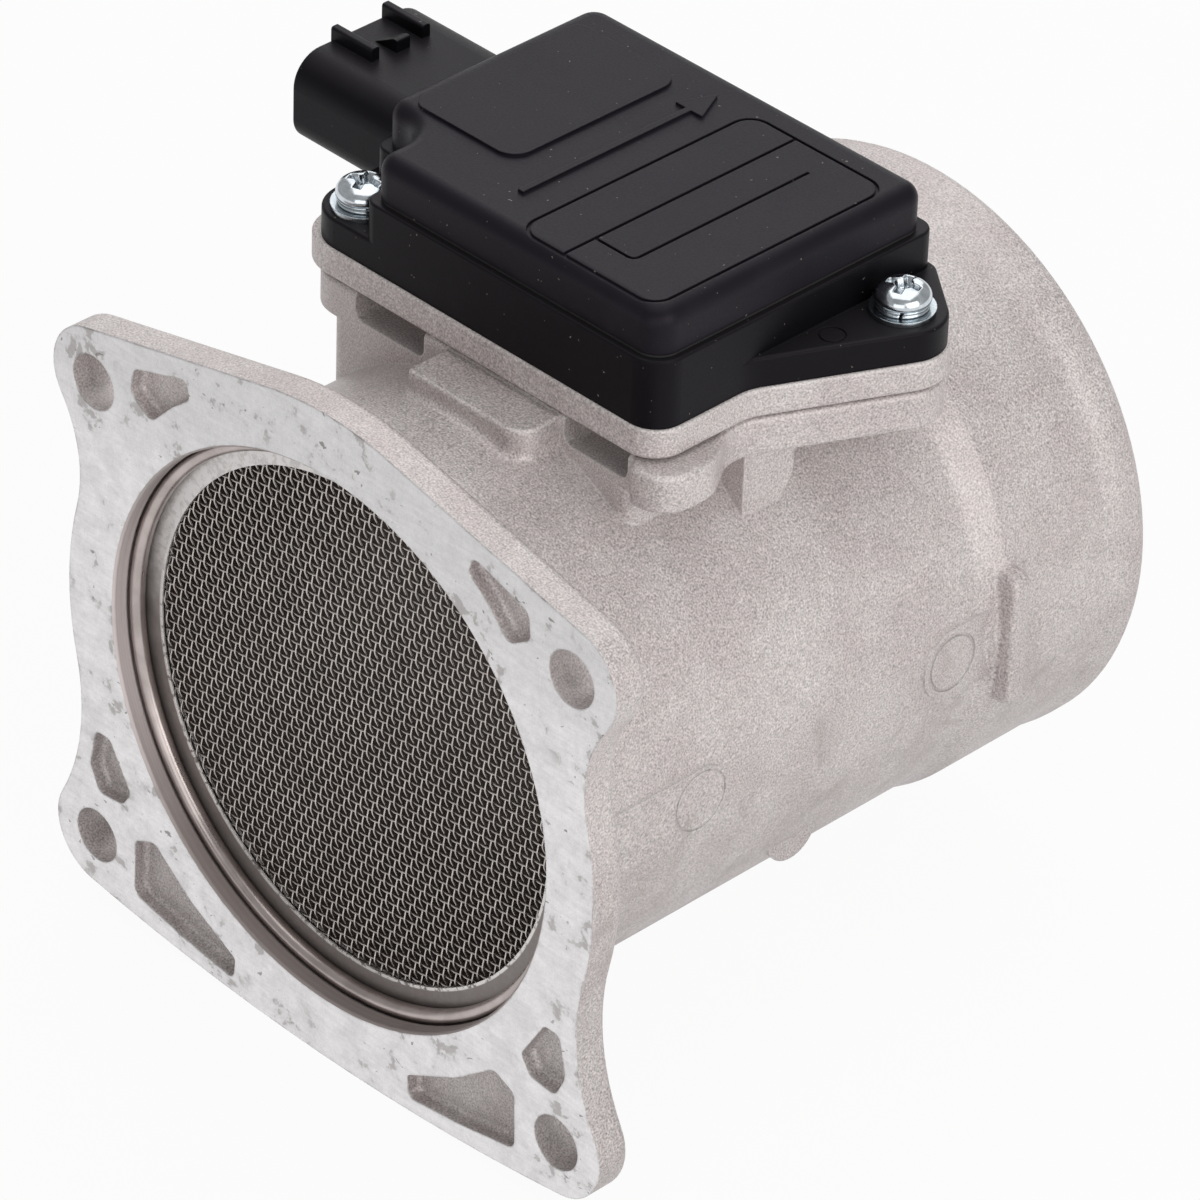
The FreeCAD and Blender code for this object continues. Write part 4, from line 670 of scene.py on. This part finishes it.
def woven(pitch, cross_pitch, bend, sign, upright_wires):
    """Points and faces of one set of parallel wires, in the row's frame."""
    points, faces = [], []
    count = int(WEAVE_R / pitch)
    for i in range(-count, count + 1):
        off = i * pitch
        half = math.sqrt(max(WEAVE_R ** 2 - off ** 2, 0.0))
        if half >= cross_pitch:
            rows = wire_rows(off, half, i, cross_pitch, bend, sign, upright_wires)
            join_rows(points, faces, rows, turned=not upright_wires)
    return points, faces


wire = steel("screen_wire", (0.60, 0.555, 0.525), 0.27, 4.0, 0.22, depth=0.004)
for name, *weave in (("upright_wires", UPRIGHT_PITCH, LEVEL_PITCH, UPRIGHT_BEND, -1, True),
                     ("level_wires", LEVEL_PITCH, UPRIGHT_PITCH, LEVEL_BEND, 1, False)):
    piece = mesh_piece(name, *woven(*weave), wire)
    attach(piece, "root")
    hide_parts("screen_mesh")
# %% [markdown]
# ## Floor and backdrop
# The photo has a plain white ground. Matt paper alone would have to be lit until the part burns out, so the
# floor is two things. To the camera and to mirrors it is mostly an even white of strength one, with a small
# share of matt paper that keeps a faint shadow, so the part stands on something. To all other light it is
# matt paper, which throws less light at the part from below.
# %% Floor
FLOOR_HALF, PAPER, WHITE_SHARE = 3.0, (0.62, 0.62, 0.62, 1.0), 0.94
WHITE = (1.0, 1.0, 1.0, 1.0)


def seen_by(recipe, *kinds):
    """1 for the named kinds of light path, 0 for all others."""
    found = 0.0
    for kind in kinds:
        found = recipe.add("ShaderNodeLightPath", {}, {}, out=kind).most(found)
    return found


lowest = solids_box[0][2]
corners = [(x * FLOOR_HALF, y * FLOOR_HALF, lowest) for x, y in ((-1, -1), (1, -1), (1, 1), (-1, 1))]
floor_mesh = bpy.data.meshes.new("floor")
floor_mesh.from_pydata(corners, [], [(0, 1, 2, 3)])
floor = bpy.data.objects.new("floor", floor_mesh)
bpy.context.scene.collection.objects.link(floor)
paper = Recipe("white_paper")
seen = seen_by(paper, "Is Camera Ray", "Is Glossy Ray", "Is Transmission Ray")
matt = paper.add("ShaderNodeBsdfDiffuse", {}, {"Color": PAPER})
glow = paper.add("ShaderNodeEmission", {}, {"Color": WHITE, "Strength": 1.0})
both = paper.add("ShaderNodeMixShader", {}, {0: seen * WHITE_SHARE, 1: matt, 2: glow})
floor_mesh.materials.append(paper.close(both))
print("floor at z =", round(lowest / MM, 2), "mm")
# %% [markdown]
# ## The world
# Product photos like this one are taken in a white tent, with light from everywhere. A tent could be built
# from sheets, but the world does the same with no mesh: an even, dim white for light and for mirrors, and
# plain white where the camera looks past the floor.
# %% World
TENT_WHITE, TENT_STRENGTH = (1.0, 0.995, 0.99, 1.0), 0.42

tent = Recipe("tent", bpy.data.worlds)
inside = tent.add("ShaderNodeBackground", {}, {"Color": TENT_WHITE, "Strength": TENT_STRENGTH})
outside = tent.add("ShaderNodeBackground", {}, {"Color": WHITE, "Strength": 1.0})
past = seen_by(tent, "Is Camera Ray", "Is Transmission Ray")
both = tent.add("ShaderNodeMixShader", {}, {0: past, 1: inside, 2: outside})
bpy.context.scene.world = tent.close(both, "ShaderNodeOutputWorld")
print("world", bpy.context.scene.world.name, "of strength", TENT_STRENGTH)
# %% [markdown]
# ## Lamps
# The tent alone would leave the part flat. Four large soft lamps shape it: the strongest from the right, one
# from above, a dimmer one from the front right for the flange's face, and one from behind on the left, which
# draws the sheen on the lid. Large lamps give the broad highlights that satin metal and plastic show.
# %% Lamps
TARGET = Vector((0.0, 0.055, 0.01))


def lamp(name, towards, distance, side, watts, tint=(1.0, 1.0, 1.0)):
    """A square lamp in the direction `towards`, facing the part."""
    data = bpy.data.lights.new(name, "AREA")
    data.shape, data.size = "SQUARE", side
    data.energy, data.color = watts, tint
    obj = bpy.data.objects.new(name, data)
    obj.location = TARGET + Vector(towards).normalized() * distance
    obj.rotation_euler = (obj.location - TARGET).to_track_quat("Z", "Y").to_euler()
    bpy.context.scene.collection.objects.link(obj)
    print(name, watts, "W")


lamp("top_softbox", (-0.10, 0.15, 1.0), 0.9, 0.9, 3.2)
lamp("right_softbox", (1.0, -0.10, 0.40), 1.0, 0.8, 4.8, (1.0, 0.985, 0.97))
lamp("front_softbox", (0.60, -1.0, 0.20), 1.1, 0.8, 2.8)
lamp("rear_softbox", (-0.70, 0.75, 0.60), 1.1, 0.9, 2.8)
bpy.context.scene.view_settings.view_transform = "Standard"
